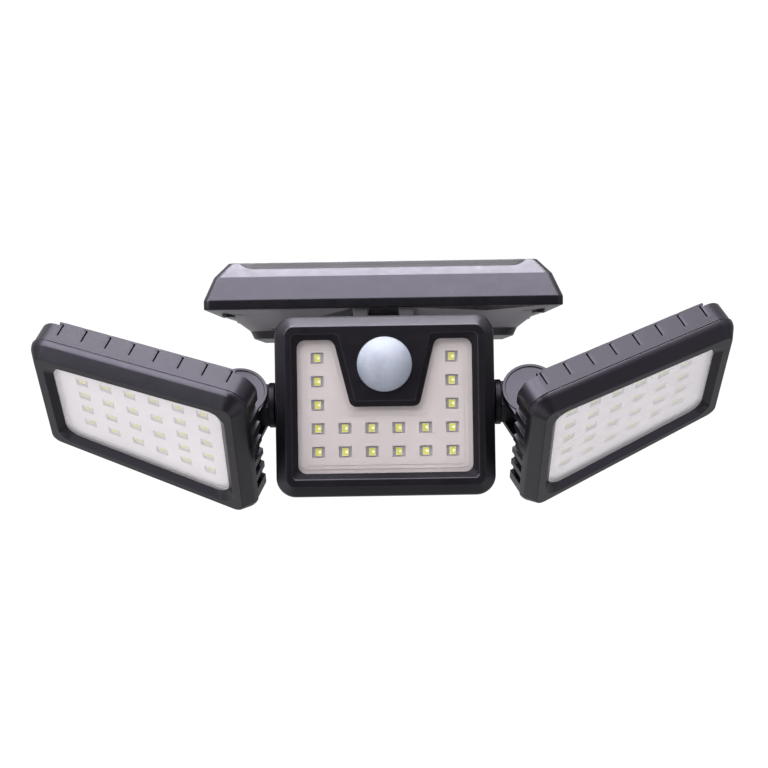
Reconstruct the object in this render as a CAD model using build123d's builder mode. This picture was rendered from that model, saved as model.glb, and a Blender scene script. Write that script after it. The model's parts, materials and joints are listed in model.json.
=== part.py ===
"""Solar motion sensor security light with three lamp heads.

Millimetres, +Z up, front towards -Y. The origin is the middle of the wall plate's
back face. A solar unit stands out from the wall, a centre head hangs under its front
edge on a tilt hinge, and an arm on each side of that head carries a side head that
swivels about X and turns about the arm's own hinge.
"""
from build123d import *
from math import atan, cos, degrees, hypot, radians, sin
import os

os.makedirs("parts", exist_ok=True)

# ---------------------------------------------------------------- driving sizes
# Wall plate
PLATE_W = 100.0          # width of the plate on the wall
PLATE_T = 3.0            # its thickness
PLATE_TOP = 13.0         # top edge above the origin
PLATE_R = 5.0
WALL_HOLE_SPACING = 64.0
WALL_HOLE_R = 2.25
LIP_W = 58.0             # shelf that the unit stands on
LIP_D = 24.0
LIP_T = 2.4
LOCK_SPACING = 40.0      # two screws up through the shelf
LOCK_Y = -15.0
LOCK_CHAMFER = 0.5
HOOK_X = 38.0            # hooks that enter the back wall of the tray
HOOK_W = 10.0
HOOK_T = 1.8
HOOK_RISE = 4.6
FIT_GAP = 0.3            # clearance between pieces that drop into place

# Solar unit
BAND_W = 161.0           # width over the band of the panel frame
BAND_D = 112.0           # depth over the band
BAND_H = 4.1
BEVEL_H = 10.4           # steep bevel above the band
BEVEL_IN = 4.4
CROWN_H = 6.8            # flatter bevel that runs up to the pane
CROWN_IN = 6.3
BAND_Z = -2.0            # underside of the band
FRAME_WALL = 6.0
CROWN_T = 2.6            # skin of the frame beside the pane
PANE_W = 134.0
PANE_FRONT_IN = 8.3      # pane's front edge behind the band
PANE_BACK_IN = 12.0
PANE_R = 9.0             # plan radius of the pane's corners
PANE_T = 1.2
PANE_CHAMFER = 0.3
BACKING_T = 1.6
CELL_T = 0.4
CELL_ROWS = 2
CELL_COLUMNS = 6
CELL_GAP = 1.6
CELL_MARGIN = 4.5
FRAME_R = 3.0            # plan radius of the band's corners

# Tray under the panel
TRAY_EDGE_IN = 1.5       # step between band and tray
SHOULDER_IN = 7.0        # shallow slope under the rim, at the sides and the back
SHOULDER_H = 2.3
FLANK_IN = 9.0           # steeper slope below it
FLANK_H = 6.9
FLANK_STEP = 1.8         # ledge between shoulder and flank
SKIRT_H = 3.6            # upright foot of the tray
SKIRT_IN = 1.6
FRONT_SLOPE_IN = 17.8    # the front is one slope from the rim down to the skirt
TRAY_WALL = 2.4
TRAY_R = 8.0
SEAL_W = 1.8             # sealing cord in the underside of the frame
SEAL_H = 1.0
SEAL_IN = 2.6
SHELL_SCREW_IN_X = 10.5
SHELL_SCREW_IN_Y = 9.5
SCREW_R = 1.5            # self-tapping screws of the shells
SCREW_HEAD_R = 2.8
SCREW_HEAD_H = 1.8
SCREW_SINK = 1.2         # head's seat under the tray's rim
SCREW_GRIP = 8.0         # length of thread in the frame
SCREW_CLEAR = 10.0       # depth of the screw holes through the tray
BOSS_R = 3.6

# Inside the tray
CELL18_R = 9.2           # rechargeable cell
CELL18_L = 65.0
CELL18_BACK = 14.0       # free depth behind the cell for the lock screws
CRADLE_T = 1.6
CELL18_CHAMFER = 0.8
BOARD_W = 74.0
BOARD_D = 34.0
BOARD_T = 1.6
BOARD_R = 2.0
BOARD_AHEAD = 4.0        # gap between the cell and the board
POST_IN = 5.0            # board posts inside its edges
STANDOFF_R = 3.0
STANDOFF_H = 5.0
BUTTON_R = 4.5
BUTTON_OUT = 1.6         # how far the button stands out below the tray
BUTTON_TRAVEL = 1.0
BUTTON_FLANGE = 1.6
BUTTON_FLANGE_T = 1.2
BUTTON_ROUND = 0.7
BUTTON_X = 18.0
BUTTON_AHEAD = 6.0       # in front of the board's middle
SWITCH_W = 6.0
SWITCH_H = 2.4
PART_H = 3.2
COIL_PLACE = (-20.0, 4.0)
COIL_SIZE = (9.0, 6.0)
CHIP_PLACE = (4.0, -5.0)
CHIP_SIZE = (6.0, 5.0)
PLUG_PLACE = (22.0, 6.0)
PLUG_SIZE = (10.0, 7.0)

# Tilt hinge between tray and centre head
TILT_BACK = 28.0         # axis behind the centre head's front rim
TILT_UP = 34.5           # axis above the centre head's middle
TILT_R = 6.4
TILT_RELIEF = 0.6        # hollow in the head's shell round the lugs
TONGUE_W = 13.4
LUG_T = 6.5
TILT_PIN_R = 2.0
TILT_PIN_END = 1.0       # pin beyond its nut
PIN_HEAD_ROUND = 0.8
LUG_SPREAD = 9.0         # lug root wider than its round end
NUT_ROOM = 2.0           # free room in the hollow beside the nut

# Centre head
HEAD_DROP = 43.9         # its middle below the band
FACE_FORWARD = 20.0      # its front rim in front of the band
FACE_W = 96.6
FACE_H = 79.5
FACE_R = 8.7
BEZEL_CHAMFER_IN = 4.6
BEZEL_CHAMFER_D = 6.0
FACE_BEZEL_D = 12.0
WINDOW_W = 76.3
WINDOW_H = 58.2
WINDOW_R = 3.5
WINDOW_SLOPE = 2.8       # inward slope of the rim down to the cover
NOTCH_TOP_W = 44.8
NOTCH_LOW_W = 30.4
NOTCH_LOW = -0.4         # lower edge of the sensor island
NOTCH_R = 4.0
SENSOR_UP = 18.3
SENSOR_R = 12.0
SENSOR_FLANGE = 1.4
SENSOR_SEAT = 1.2
SENSOR_SHELL = 0.8
DETECTOR_R = 4.6
DETECTOR_H = 4.2
DETECTOR_BRIM = 0.6
DETECTOR_BRIM_T = 0.5
DETECTOR_SLOT = (4.0, 3.0)
DETECTOR_SLOT_D = 0.3
CENTRE_BACK_D = 24.0     # depth of the rear shell behind the bezel
CENTRE_SHELL_FLAT = 3.0  # straight part of its walls before they slope in
CENTRE_TOP_IN = 24.0
CENTRE_LOW_IN = 12.0
PITCH_X = 11.8           # spacing of the emitters
PITCH_Y = 10.35
EMITTER_W = 3.5
EMITTER_H = 2.8
EMITTER_T = 0.8
POCKET_W = 5.7
POCKET_H = 4.9
FIRST_ROW = -20.0        # lowest row of the centre head
FACE_SCREW_IN = 5.2
FACE_SCREW_GRIP = 5.0    # thread of each screw in the bezel
TOWER_R = 4.2            # screw towers of the rear shell
TOWER_RIM = 2.8
SCREW_SEAT = 3.0
SENSOR_RISE = 9.0        # height of the dome above its collar
SENSOR_COLLAR = 1.8
SENSOR_BOARD_W = 33.0
SENSOR_BOARD_H = 20.0
SENSOR_BOARD_R = 1.5
TONGUE_DROP = 12.0
TONGUE_FOOT = 9.0
BOARD_RIB_X = 20.0
BOARD_RIB_Y = 14.0

# Stack of cover, reflector and board, the same in all three heads
COVER_RECESS = 2.7       # cover below the rim
COVER_T = 2.0
COVER_LAP = 2.5          # cover's edge behind the rim
COVER_GAP = 0.2
REFLECTOR_RIM = 0.55
REFLECTOR_T = 1.6
REFLECTOR_RIM_W = 1.2    # raised rim round the reflector
LED_BOARD_T = 1.2
SHELL_WALL = 2.4
GASKET_T = 0.7
GASKET_IN = 0.8
GASKET_W = 3.2

# Side heads: sizes run outward from the arm hinge
HEAD_IN = -17.9          # inner end
HEAD_LENGTH = 104.3
HEAD_IN_H = 90.4         # height at the inner end
HEAD_OUT_H = 72.9        # height at the outer end
HEAD_UP = 5.2            # middle of the head above the hinge
HEAD_R = 9.0
HEAD_BORDER = 11.8
HEAD_WINDOW_R = 7.0
HEAD_WINDOW_SLOPE = 3.2
RIM_FORWARD = 32.25      # rim in front of the hinge axis
HEAD_WALL_LIP = 1.2      # upright edge of the bezel
HEAD_SHELL_D = 9.3       # rear shell at its ends
PLATEAU_D = 1.7          # raised middle of its back
PLATEAU_IN = 10.2
SLOT_W = 1.0
SLOT_DEEP = 1.5
SLOT_RUN = 8.6
FIN_SLOPE_W = 1.5        # sloped edge of each fin, outward of its slot
FIN_SLOPE_D = 0.45
POCKET_TALL = 6.2        # pockets between the fins at the ends
TOP_SLOTS = 8
IN_POCKETS = 6
OUT_POCKETS = 5
SLOT_ENDS = 11.5         # first slot from the end
END_PITCH = 10.6
EAR_R = 12.8
EAR_T = 3.0
EAR_OUT = 10.65          # outer face of each ear from the middle
HINGE_R = 2.5
HINGE_HEAD_R = 3.2
HINGE_HEAD_H = 1.5
HINGE_RECESS_R = 3.8
NUT_R = 4.4
NUT_H = 1.6
EAR_RIM_W = 1.3          # raised rim of the upper ear
EAR_RIM_H = 0.6
HEAD_SCREW_IN = 5.8
HEAD_SCREW_GRIP = 4.5
POST_NEAR = 8.0          # posts under the board, outward from the hinge
POST_FAR = 60.0
HINGE_END = 0.8          # hinge bolt beyond its nut
FIRST_COLUMN = 3.9       # innermost column of emitters
COLUMN_IN_H = 43.8       # height of that column
COLUMN_STEP = 2.45       # what each further column loses

# Arms
ARM_OUT = 16.7           # arm hinge beyond the side of the centre head
ARM_UP = 0.86
ARM_BACK = 25.2
KNUCKLE_R = 10.4
SIDE_PLAY = 0.15
FLANGE_R = 10.1
FLANGE_T = 2.5
SWIVEL_BOSS_R = 9.0
SWIVEL_BOSS_OUT = 1.2
SPIGOT_R = 6.0
SPIGOT_L = 2.4
SWIVEL_R = 2.5
SWIVEL_HEAD_R = 5.0
SWIVEL_HEAD_H = 3.0
WASHER_T = 1.0
RUN_GAP = 0.1            # radial clearance of every turning fit
PAD_T = 4.0              # thickened wall behind each swivel boss
NECK_W = 13.0            # neck of the arm across the hinge
SWIVEL_GRIP = 5.0        # thread of the swivel bolt in the arm
SWIVEL_WASHER_RIM = 1.0

# Pose in which the light is stored
LEFT_PITCH = 55.0
RIGHT_PITCH = 58.4
LEFT_TURN = 22.5
RIGHT_TURN = 27.4

# ---------------------------------------------------------------- derived places
UNIT_BACK = -(PLATE_T + FIT_GAP)
UNIT_FRONT = UNIT_BACK - BAND_D
CROWN_Z = BAND_Z + BAND_H + BEVEL_H + CROWN_H
PANE_Z = CROWN_Z - PANE_T
BACKING_Z = PANE_Z - CELL_T - BACKING_T
TRAY_FLOOR_Z = BAND_Z - SHOULDER_H - FLANK_H - SKIRT_H
TRAY_INSIDE_Z = TRAY_FLOOR_Z + TRAY_WALL
FLANK_TOP_IN = TRAY_EDGE_IN + SHOULDER_IN + FLANK_STEP
FLANK_LOW_IN = FLANK_TOP_IN + FLANK_IN
FRONT_LOW_IN = TRAY_EDGE_IN + FRONT_SLOPE_IN
FRONT_MID_IN = TRAY_EDGE_IN + FRONT_SLOPE_IN * SHOULDER_H / (SHOULDER_H + FLANK_H)
FRONT_SKIRT_IN = FRONT_LOW_IN + SKIRT_IN
SKIRT_LOW_IN = FLANK_LOW_IN + SKIRT_IN
HEAD_Z = BAND_Z - HEAD_DROP
FACE_Y = UNIT_FRONT - FACE_FORWARD
TILT_Y = FACE_Y + TILT_BACK
TILT_Z = HEAD_Z + TILT_UP
ARM_X = FACE_W / 2 + ARM_OUT
ARM_Y = FACE_Y + ARM_BACK
ARM_Z = HEAD_Z + ARM_UP
ARM_HALF = EAR_OUT - EAR_T - SIDE_PLAY
HEAD_SLOPE = (HEAD_IN_H - HEAD_OUT_H) / 2 / HEAD_LENGTH
BOSS_X = FACE_W / 2 - FIT_GAP + SWIVEL_BOSS_OUT
COVER_TOP = -COVER_RECESS
COVER_LOW = COVER_TOP - COVER_T
REFLECTOR_TOP = COVER_LOW - REFLECTOR_RIM
REFLECTOR_LOW = REFLECTOR_TOP - REFLECTOR_T
BOARD_LOW = REFLECTOR_LOW - LED_BOARD_T
HEAD_BEZEL_D = BEZEL_CHAMFER_D + HEAD_WALL_LIP

FACE = Plane(origin=(0, FACE_Y, HEAD_Z), x_dir=(1, 0, 0), z_dir=(0, -1, 0))


def save(piece, label):
    """Label a finished piece and write it out."""
    piece.part.label = label
    export_step(piece.part, f"parts/{label}.step")


def tray_outline(side_in, front_in, radius):
    """Plan of the tray: drawn in at the sides and the front, upright at the back."""
    depth = BAND_D - front_in
    with Locations((0, UNIT_BACK - depth / 2)):
        Rectangle(BAND_W - 2 * side_in, depth)
    fillet(vertices().group_by(Axis.Y)[0], radius)


def panel_outline(inset, radius):
    """Plan of the panel frame, drawn in alike on all four sides."""
    with Locations((0, UNIT_BACK - BAND_D / 2)):
        RectangleRounded(BAND_W - 2 * inset, BAND_D - 2 * inset, radius)


def pane_outline(grow):
    """Plan of the pane, grown by a clearance."""
    depth = BAND_D - PANE_FRONT_IN - PANE_BACK_IN
    with Locations((0, UNIT_BACK - PANE_BACK_IN - depth / 2)):
        RectangleRounded(PANE_W + 2 * grow, depth + 2 * grow, PANE_R + grow)


def hex_outline(radius):
    """Hexagon of a nut or of its pocket."""
    RegularPolygon(radius, 6)


# ---------------------------------------------------------------- wall plate
LIP_Z = TRAY_FLOOR_Z - LIP_T
PLATE_MID_Z = (PLATE_TOP + LIP_Z) / 2
WALL = Plane(origin=(0, 0, 0), x_dir=(1, 0, 0), z_dir=(0, -1, 0))
HOOK_Z = BAND_Z - SHOULDER_H - FLANK_H

with BuildPart() as wall_plate:
    with BuildSketch(WALL):
        with Locations((0, PLATE_MID_Z)):
            RectangleRounded(PLATE_W, PLATE_TOP - LIP_Z, PLATE_R)
    extrude(amount=PLATE_T)
    with BuildSketch(Plane.XY.offset(LIP_Z)):
        with Locations((0, -(PLATE_T + LIP_D) / 2)):
            Rectangle(LIP_W, LIP_D - PLATE_T)
        with Locations((0, -PLATE_T / 2)):
            Rectangle(LIP_W, PLATE_T)
    extrude(amount=LIP_T)
    with BuildSketch(Plane.XY.offset(HOOK_Z)):
        with Locations((-HOOK_X, UNIT_BACK / 2 - TRAY_WALL / 2), (HOOK_X, UNIT_BACK / 2 - TRAY_WALL / 2)):
            Rectangle(HOOK_W, -UNIT_BACK + TRAY_WALL + 2 * FIT_GAP)
    extrude(amount=HOOK_T)
    with BuildSketch(Plane.XY.offset(HOOK_Z)):
        with Locations((-HOOK_X, UNIT_BACK - TRAY_WALL - FIT_GAP - HOOK_T / 2),
                       (HOOK_X, UNIT_BACK - TRAY_WALL - FIT_GAP - HOOK_T / 2)):
            Rectangle(HOOK_W, HOOK_T)
    extrude(amount=HOOK_RISE)
    with Locations(WALL.offset(PLATE_T)):
        with GridLocations(WALL_HOLE_SPACING, 1, 2, 1):
            CounterSinkHole(WALL_HOLE_R, WALL_HOLE_R * 1.9, depth=PLATE_T)
    with Locations(Plane.XY.offset(LIP_Z)):
        with Locations((-LOCK_SPACING / 2, LOCK_Y), (LOCK_SPACING / 2, LOCK_Y)):
            Hole(SCREW_R + RUN_GAP, depth=2 * LIP_T)
save(wall_plate, "wall_plate")

with BuildPart() as lock_screws:
    with BuildSketch(Plane.XY.offset(LIP_Z)):
        with Locations((-LOCK_SPACING / 2, LOCK_Y), (LOCK_SPACING / 2, LOCK_Y)):
            Circle(SCREW_HEAD_R)
    extrude(amount=-SCREW_HEAD_H)
    with BuildSketch(Plane.XY.offset(LIP_Z)):
        with Locations((-LOCK_SPACING / 2, LOCK_Y), (LOCK_SPACING / 2, LOCK_Y)):
            Circle(SCREW_R)
    extrude(amount=LIP_T + TRAY_WALL + STANDOFF_H)
    chamfer(faces().sort_by(Axis.Z)[:2].edges(), LOCK_CHAMFER)
save(lock_screws, "lock_screws")

# ---------------------------------------------------------------- panel frame
SCREW_X = BAND_W / 2 - SHELL_SCREW_IN_X
SCREW_FRONT_Y = UNIT_FRONT + SHELL_SCREW_IN_Y
SCREW_BACK_Y = UNIT_BACK - SHELL_SCREW_IN_Y
SHELL_SCREWS = [(x, y) for x in (-SCREW_X, SCREW_X) for y in (SCREW_FRONT_Y, SCREW_BACK_Y)]
BOSS_TOP_Z = BAND_Z + BAND_H + BEVEL_H - CROWN_T

with BuildPart() as panel_frame:
    with BuildSketch(Plane.XY.offset(BAND_Z)):
        panel_outline(0, FRAME_R)
    extrude(amount=BAND_H)
    with BuildSketch(Plane.XY.offset(BAND_Z + BAND_H)):
        panel_outline(0, FRAME_R)
    with BuildSketch(Plane.XY.offset(BAND_Z + BAND_H + BEVEL_H)):
        panel_outline(BEVEL_IN, FRAME_R)
    loft(ruled=True)
    with BuildSketch(Plane.XY.offset(BAND_Z + BAND_H + BEVEL_H)):
        panel_outline(BEVEL_IN, FRAME_R)
    with BuildSketch(Plane.XY.offset(CROWN_Z)):
        panel_outline(BEVEL_IN + CROWN_IN, FRAME_R)
    loft(ruled=True)
    with BuildSketch(Plane.XY.offset(BAND_Z)):
        panel_outline(FRAME_WALL, FRAME_R)
    with BuildSketch(Plane.XY.offset(BACKING_Z - CROWN_T)):
        panel_outline(FRAME_WALL + BEVEL_IN, FRAME_R)
    loft(ruled=True, mode=Mode.SUBTRACT)
    with BuildSketch(Plane.XY.offset(BAND_Z)):
        with Locations(*SHELL_SCREWS):
            Circle(BOSS_R)
    extrude(amount=BOSS_TOP_Z - BAND_Z)
    with BuildSketch(Plane.XY.offset(BACKING_Z)):
        pane_outline(COVER_GAP)
    extrude(amount=CROWN_Z - BACKING_Z, mode=Mode.SUBTRACT)
    with BuildSketch(Plane.XY.offset(BACKING_Z)):
        with Locations((0, UNIT_BACK - BAND_D / 2)):
            Rectangle(PANE_W / 3, BAND_D / 3)
    extrude(amount=-2 * CROWN_T, mode=Mode.SUBTRACT)
    with BuildSketch(Plane.XY.offset(BAND_Z)):
        panel_outline(SEAL_IN, FRAME_R)
        with Locations((0, UNIT_BACK - BAND_D / 2)):
            RectangleRounded(BAND_W - 2 * (SEAL_IN + SEAL_W), BAND_D - 2 * (SEAL_IN + SEAL_W), FRAME_R / 2,
                             mode=Mode.SUBTRACT)
    extrude(amount=SEAL_H, mode=Mode.SUBTRACT)
    with BuildSketch(Plane.XY.offset(BAND_Z)):
        with Locations(*SHELL_SCREWS):
            Circle(SCREW_R)
    extrude(amount=10, mode=Mode.SUBTRACT)
save(panel_frame, "panel_frame")

with BuildPart() as frame_seal:
    with BuildSketch(Plane.XY.offset(BAND_Z)):
        panel_outline(SEAL_IN, FRAME_R)
        with Locations((0, UNIT_BACK - BAND_D / 2)):
            RectangleRounded(BAND_W - 2 * (SEAL_IN + SEAL_W), BAND_D - 2 * (SEAL_IN + SEAL_W), FRAME_R / 2,
                             mode=Mode.SUBTRACT)
    extrude(amount=SEAL_H)
save(frame_seal, "frame_seal")

with BuildPart() as panel_backing:
    with BuildSketch(Plane.XY.offset(BACKING_Z)):
        pane_outline(0)
    extrude(amount=BACKING_T)
save(panel_backing, "panel_backing")

PANE_D = BAND_D - PANE_FRONT_IN - PANE_BACK_IN
CELL_W = (PANE_W - 2 * CELL_MARGIN - (CELL_COLUMNS - 1) * CELL_GAP) / CELL_COLUMNS
CELL_D = (PANE_D - 2 * CELL_MARGIN - (CELL_ROWS - 1) * CELL_GAP) / CELL_ROWS
with BuildPart() as solar_cells:
    with BuildSketch(Plane.XY.offset(BACKING_Z + BACKING_T)):
        with Locations((0, UNIT_BACK - PANE_BACK_IN - PANE_D / 2)):
            with GridLocations(CELL_W + CELL_GAP, CELL_D + CELL_GAP, CELL_COLUMNS, CELL_ROWS):
                Rectangle(CELL_W, CELL_D)
    extrude(amount=CELL_T)
save(solar_cells, "solar_cells")

with BuildPart() as solar_pane:
    with BuildSketch(Plane.XY.offset(PANE_Z)):
        pane_outline(0)
    extrude(amount=PANE_T)
    chamfer(faces().sort_by(Axis.Z)[-1].edges(), PANE_CHAMFER)
save(solar_pane, "solar_pane")

# ---------------------------------------------------------------- tray
LUG_X = TONGUE_W / 2 + FIT_GAP
LUG_ROOT = TILT_R + LUG_SPREAD
LUG_PLANE = Plane(origin=(0, TILT_Y, TILT_Z), x_dir=(0, 1, 0), z_dir=(1, 0, 0))
CELL18_Y = UNIT_BACK - TRAY_WALL - CELL18_R - CELL18_BACK
CELL18_Z = TRAY_INSIDE_Z + CRADLE_T + CELL18_R
BOARD_Y = CELL18_Y - CELL18_R - BOARD_D / 2 - BOARD_AHEAD
BOARD_Z = TRAY_INSIDE_Z + STANDOFF_H
BUTTON_Y = BOARD_Y - BUTTON_AHEAD
POST_X = BOARD_W / 2 - POST_IN
POST_Y = BOARD_D / 2 - POST_IN
BOARD_POSTS = [(x, BOARD_Y + y) for x in (-POST_X, POST_X) for y in (-POST_Y, POST_Y)]


def lug_outline():
    """Side view of a hinge lug: a round end below a root in the tray's front slope."""
    root = BAND_Z - TILT_Z - FIT_GAP
    Circle(TILT_R)
    Polygon((-TILT_R, 0), (TILT_R, 0), (LUG_ROOT, root), (-TILT_R, root), align=None)


with BuildPart() as tray:
    with BuildSketch(Plane.XY.offset(BAND_Z)):
        tray_outline(TRAY_EDGE_IN, TRAY_EDGE_IN, TRAY_R)
    with BuildSketch(Plane.XY.offset(BAND_Z - SHOULDER_H)):
        tray_outline(TRAY_EDGE_IN + SHOULDER_IN, FRONT_MID_IN, TRAY_R)
    loft(ruled=True)
    with BuildSketch(Plane.XY.offset(BAND_Z - SHOULDER_H)):
        tray_outline(FLANK_TOP_IN, FRONT_MID_IN, TRAY_R)
    with BuildSketch(Plane.XY.offset(BAND_Z - SHOULDER_H - FLANK_H)):
        tray_outline(FLANK_LOW_IN, FRONT_LOW_IN, TRAY_R)
    loft(ruled=True)
    with BuildSketch(Plane.XY.offset(BAND_Z - SHOULDER_H - FLANK_H)):
        tray_outline(FLANK_LOW_IN, FRONT_LOW_IN, TRAY_R)
    with BuildSketch(Plane.XY.offset(TRAY_FLOOR_Z)):
        tray_outline(SKIRT_LOW_IN, FRONT_SKIRT_IN, TRAY_R)
    loft(ruled=True)
    with BuildSketch(LUG_PLANE):
        Circle(TILT_R + TILT_RELIEF)
    extrude(amount=LUG_X, both=True, mode=Mode.SUBTRACT)
    with BuildSketch(LUG_PLANE.offset(LUG_X)):
        lug_outline()
    extrude(amount=LUG_T)
    with BuildSketch(LUG_PLANE.offset(-LUG_X)):
        lug_outline()
    extrude(amount=-LUG_T)
    with BuildSketch(Plane.XY.offset(BAND_Z)):
        with Locations((0, (UNIT_BACK - TRAY_WALL + UNIT_FRONT + FLANK_TOP_IN + TRAY_WALL) / 2)):
            RectangleRounded(BAND_W - 2 * (FLANK_TOP_IN + TRAY_WALL),
                             BAND_D - FLANK_TOP_IN - 2 * TRAY_WALL, TRAY_R / 2)
    with BuildSketch(Plane.XY.offset(TRAY_INSIDE_Z)):
        with Locations((0, (UNIT_BACK - TRAY_WALL + UNIT_FRONT + SKIRT_LOW_IN + TRAY_WALL) / 2)):
            RectangleRounded(BAND_W - 2 * (SKIRT_LOW_IN + TRAY_WALL),
                             BAND_D - SKIRT_LOW_IN - 2 * TRAY_WALL, TRAY_R / 2)
    loft(ruled=True, mode=Mode.SUBTRACT)
    with BuildSketch(Plane.XY.offset(TRAY_INSIDE_Z)):
        with Locations(*BOARD_POSTS):
            Circle(STANDOFF_R)
    extrude(amount=STANDOFF_H)
    with BuildSketch(Plane.XY.offset(TRAY_INSIDE_Z)):
        with Locations((-LOCK_SPACING / 2, LOCK_Y), (LOCK_SPACING / 2, LOCK_Y)):
            Circle(BOSS_R)
    extrude(amount=STANDOFF_H)
    with BuildSketch(Plane.XY.offset(TRAY_FLOOR_Z)):
        with Locations((-LOCK_SPACING / 2, LOCK_Y), (LOCK_SPACING / 2, LOCK_Y)):
            Circle(SCREW_R)
    extrude(amount=TRAY_WALL + STANDOFF_H, mode=Mode.SUBTRACT)
    with BuildSketch(Plane.XY.offset(BAND_Z)):
        with Locations(*SHELL_SCREWS):
            Circle(SCREW_R + RUN_GAP)
    extrude(amount=-SCREW_CLEAR, mode=Mode.SUBTRACT)
    with BuildSketch(Plane.XY.offset(BAND_Z - SCREW_SINK)):
        with Locations(*SHELL_SCREWS):
            Circle(SCREW_HEAD_R + FIT_GAP)
    extrude(amount=-SCREW_CLEAR, mode=Mode.SUBTRACT)
    with BuildSketch(Plane.XY.offset(TRAY_FLOOR_Z)):
        with Locations((BUTTON_X, BUTTON_Y)):
            Circle(BUTTON_R + FIT_GAP)
    extrude(amount=TRAY_WALL, mode=Mode.SUBTRACT)
    with BuildSketch(Plane.XZ.offset(-UNIT_BACK)):
        with Locations((-HOOK_X, HOOK_Z + HOOK_RISE / 2), (HOOK_X, HOOK_Z + HOOK_RISE / 2)):
            Rectangle(HOOK_W + 2 * FIT_GAP, HOOK_RISE + 2 * FIT_GAP)
    extrude(amount=TRAY_WALL * 1.5, mode=Mode.SUBTRACT)
    with BuildSketch(LUG_PLANE):
        Circle(TILT_PIN_R)
    extrude(amount=2 * (LUG_X + LUG_T), both=True, mode=Mode.SUBTRACT)
save(tray, "tray")

with BuildPart() as frame_screws:
    with BuildSketch(Plane.XY.offset(BAND_Z - SCREW_SINK)):
        with Locations(*SHELL_SCREWS):
            Circle(SCREW_HEAD_R)
    extrude(amount=-SCREW_HEAD_H)
    with BuildSketch(Plane.XY.offset(BAND_Z - SCREW_SINK)):
        with Locations(*SHELL_SCREWS):
            Circle(SCREW_R)
    extrude(amount=SCREW_SINK + SCREW_GRIP)
save(frame_screws, "frame_screws")

with BuildPart() as cell_cradle:
    with BuildSketch(Plane.XY.offset(TRAY_INSIDE_Z)):
        with Locations((0, CELL18_Y)):
            Rectangle(CELL18_L + 2 * CRADLE_T + FIT_GAP, 2 * CELL18_R)
    extrude(amount=CRADLE_T + CELL18_R)
    with BuildSketch(Plane(origin=(0, CELL18_Y, CELL18_Z), x_dir=(0, 1, 0), z_dir=(1, 0, 0))):
        Circle(CELL18_R + RUN_GAP)
    extrude(amount=(CELL18_L + FIT_GAP) / 2, both=True, mode=Mode.SUBTRACT)
save(cell_cradle, "cell_cradle")

with BuildPart() as battery_cell:
    with BuildSketch(Plane(origin=(-CELL18_L / 2, CELL18_Y, CELL18_Z), x_dir=(0, 1, 0), z_dir=(1, 0, 0))):
        Circle(CELL18_R)
    extrude(amount=CELL18_L)
    chamfer(edges().filter_by(GeomType.CIRCLE), CELL18_CHAMFER)
save(battery_cell, "battery_cell")

with BuildPart() as control_board:
    with BuildSketch(Plane.XY.offset(BOARD_Z)):
        with Locations((0, BOARD_Y)):
            RectangleRounded(BOARD_W, BOARD_D, BOARD_R)
    extrude(amount=BOARD_T)
save(control_board, "control_board")

with BuildPart() as board_parts:
    with BuildSketch(Plane.XY.offset(BOARD_Z + BOARD_T)):
        for place, size in ((COIL_PLACE, COIL_SIZE), (CHIP_PLACE, CHIP_SIZE), (PLUG_PLACE, PLUG_SIZE)):
            with Locations((place[0], BOARD_Y + place[1])):
                Rectangle(*size)
    extrude(amount=PART_H)
    with BuildSketch(Plane.XY.offset(BOARD_Z)):
        with Locations((BUTTON_X, BUTTON_Y)):
            Rectangle(SWITCH_W, SWITCH_W)
    extrude(amount=-SWITCH_H)
save(board_parts, "board_parts")

with BuildPart() as mode_button:
    with BuildSketch(Plane.XY.offset(TRAY_FLOOR_Z - BUTTON_OUT)):
        with Locations((BUTTON_X, BUTTON_Y)):
            Circle(BUTTON_R)
    extrude(amount=BUTTON_OUT + TRAY_WALL)
    fillet(faces().sort_by(Axis.Z)[0].edges(), BUTTON_ROUND)
    with BuildSketch(Plane.XY.offset(TRAY_INSIDE_Z)):
        with Locations((BUTTON_X, BUTTON_Y)):
            Circle(BUTTON_R + BUTTON_FLANGE)
    extrude(amount=BUTTON_FLANGE_T)
save(mode_button, "mode_button")

with BuildPart() as tilt_pin:
    with BuildSketch(LUG_PLANE.offset(-LUG_X - LUG_T)):
        Circle(TILT_PIN_R)
    extrude(amount=2 * (LUG_X + LUG_T) + NUT_H + TILT_PIN_END)
    with BuildSketch(LUG_PLANE.offset(-LUG_X - LUG_T)):
        Circle(2 * TILT_PIN_R)
    extrude(amount=-SCREW_HEAD_H)
    fillet(faces().sort_by(Axis.X)[0].edges(), PIN_HEAD_ROUND)
save(tilt_pin, "tilt_pin")

with BuildPart() as tilt_nut:
    with BuildSketch(LUG_PLANE.offset(LUG_X + LUG_T)):
        hex_outline(NUT_R)
        Circle(TILT_PIN_R, mode=Mode.SUBTRACT)
    extrude(amount=NUT_H)
save(tilt_nut, "tilt_nut")

# ---------------------------------------------------------------- centre head
WINDOW_LOW_Y = -WINDOW_H / 2
WINDOW_TOP_Y = WINDOW_H / 2
BOARD_EDGE = COVER_LAP + COVER_GAP


def face_outline(inset):
    """Front view of the centre head, drawn in alike on all sides."""
    RectangleRounded(FACE_W - 2 * inset, FACE_H - 2 * inset, FACE_R - min(inset, FACE_R - 1.5))


def window_outline(grow, radius):
    """U-shaped window under and beside the sensor island, grown by a width."""
    slant = (NOTCH_TOP_W - NOTCH_LOW_W) / 2 / (WINDOW_TOP_Y - NOTCH_LOW)
    top = WINDOW_TOP_Y + grow
    low = NOTCH_LOW + grow
    half_low = NOTCH_LOW_W / 2 - grow * (hypot(1, slant) - slant)
    half_top = half_low + slant * (top - low)
    side = WINDOW_W / 2 + grow
    Polygon((-side, WINDOW_LOW_Y - grow), (side, WINDOW_LOW_Y - grow), (side, top), (half_top, top),
            (half_low, low), (-half_low, low), (-half_top, top), (-side, top), align=None)
    fillet(vertices(), radius)


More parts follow.
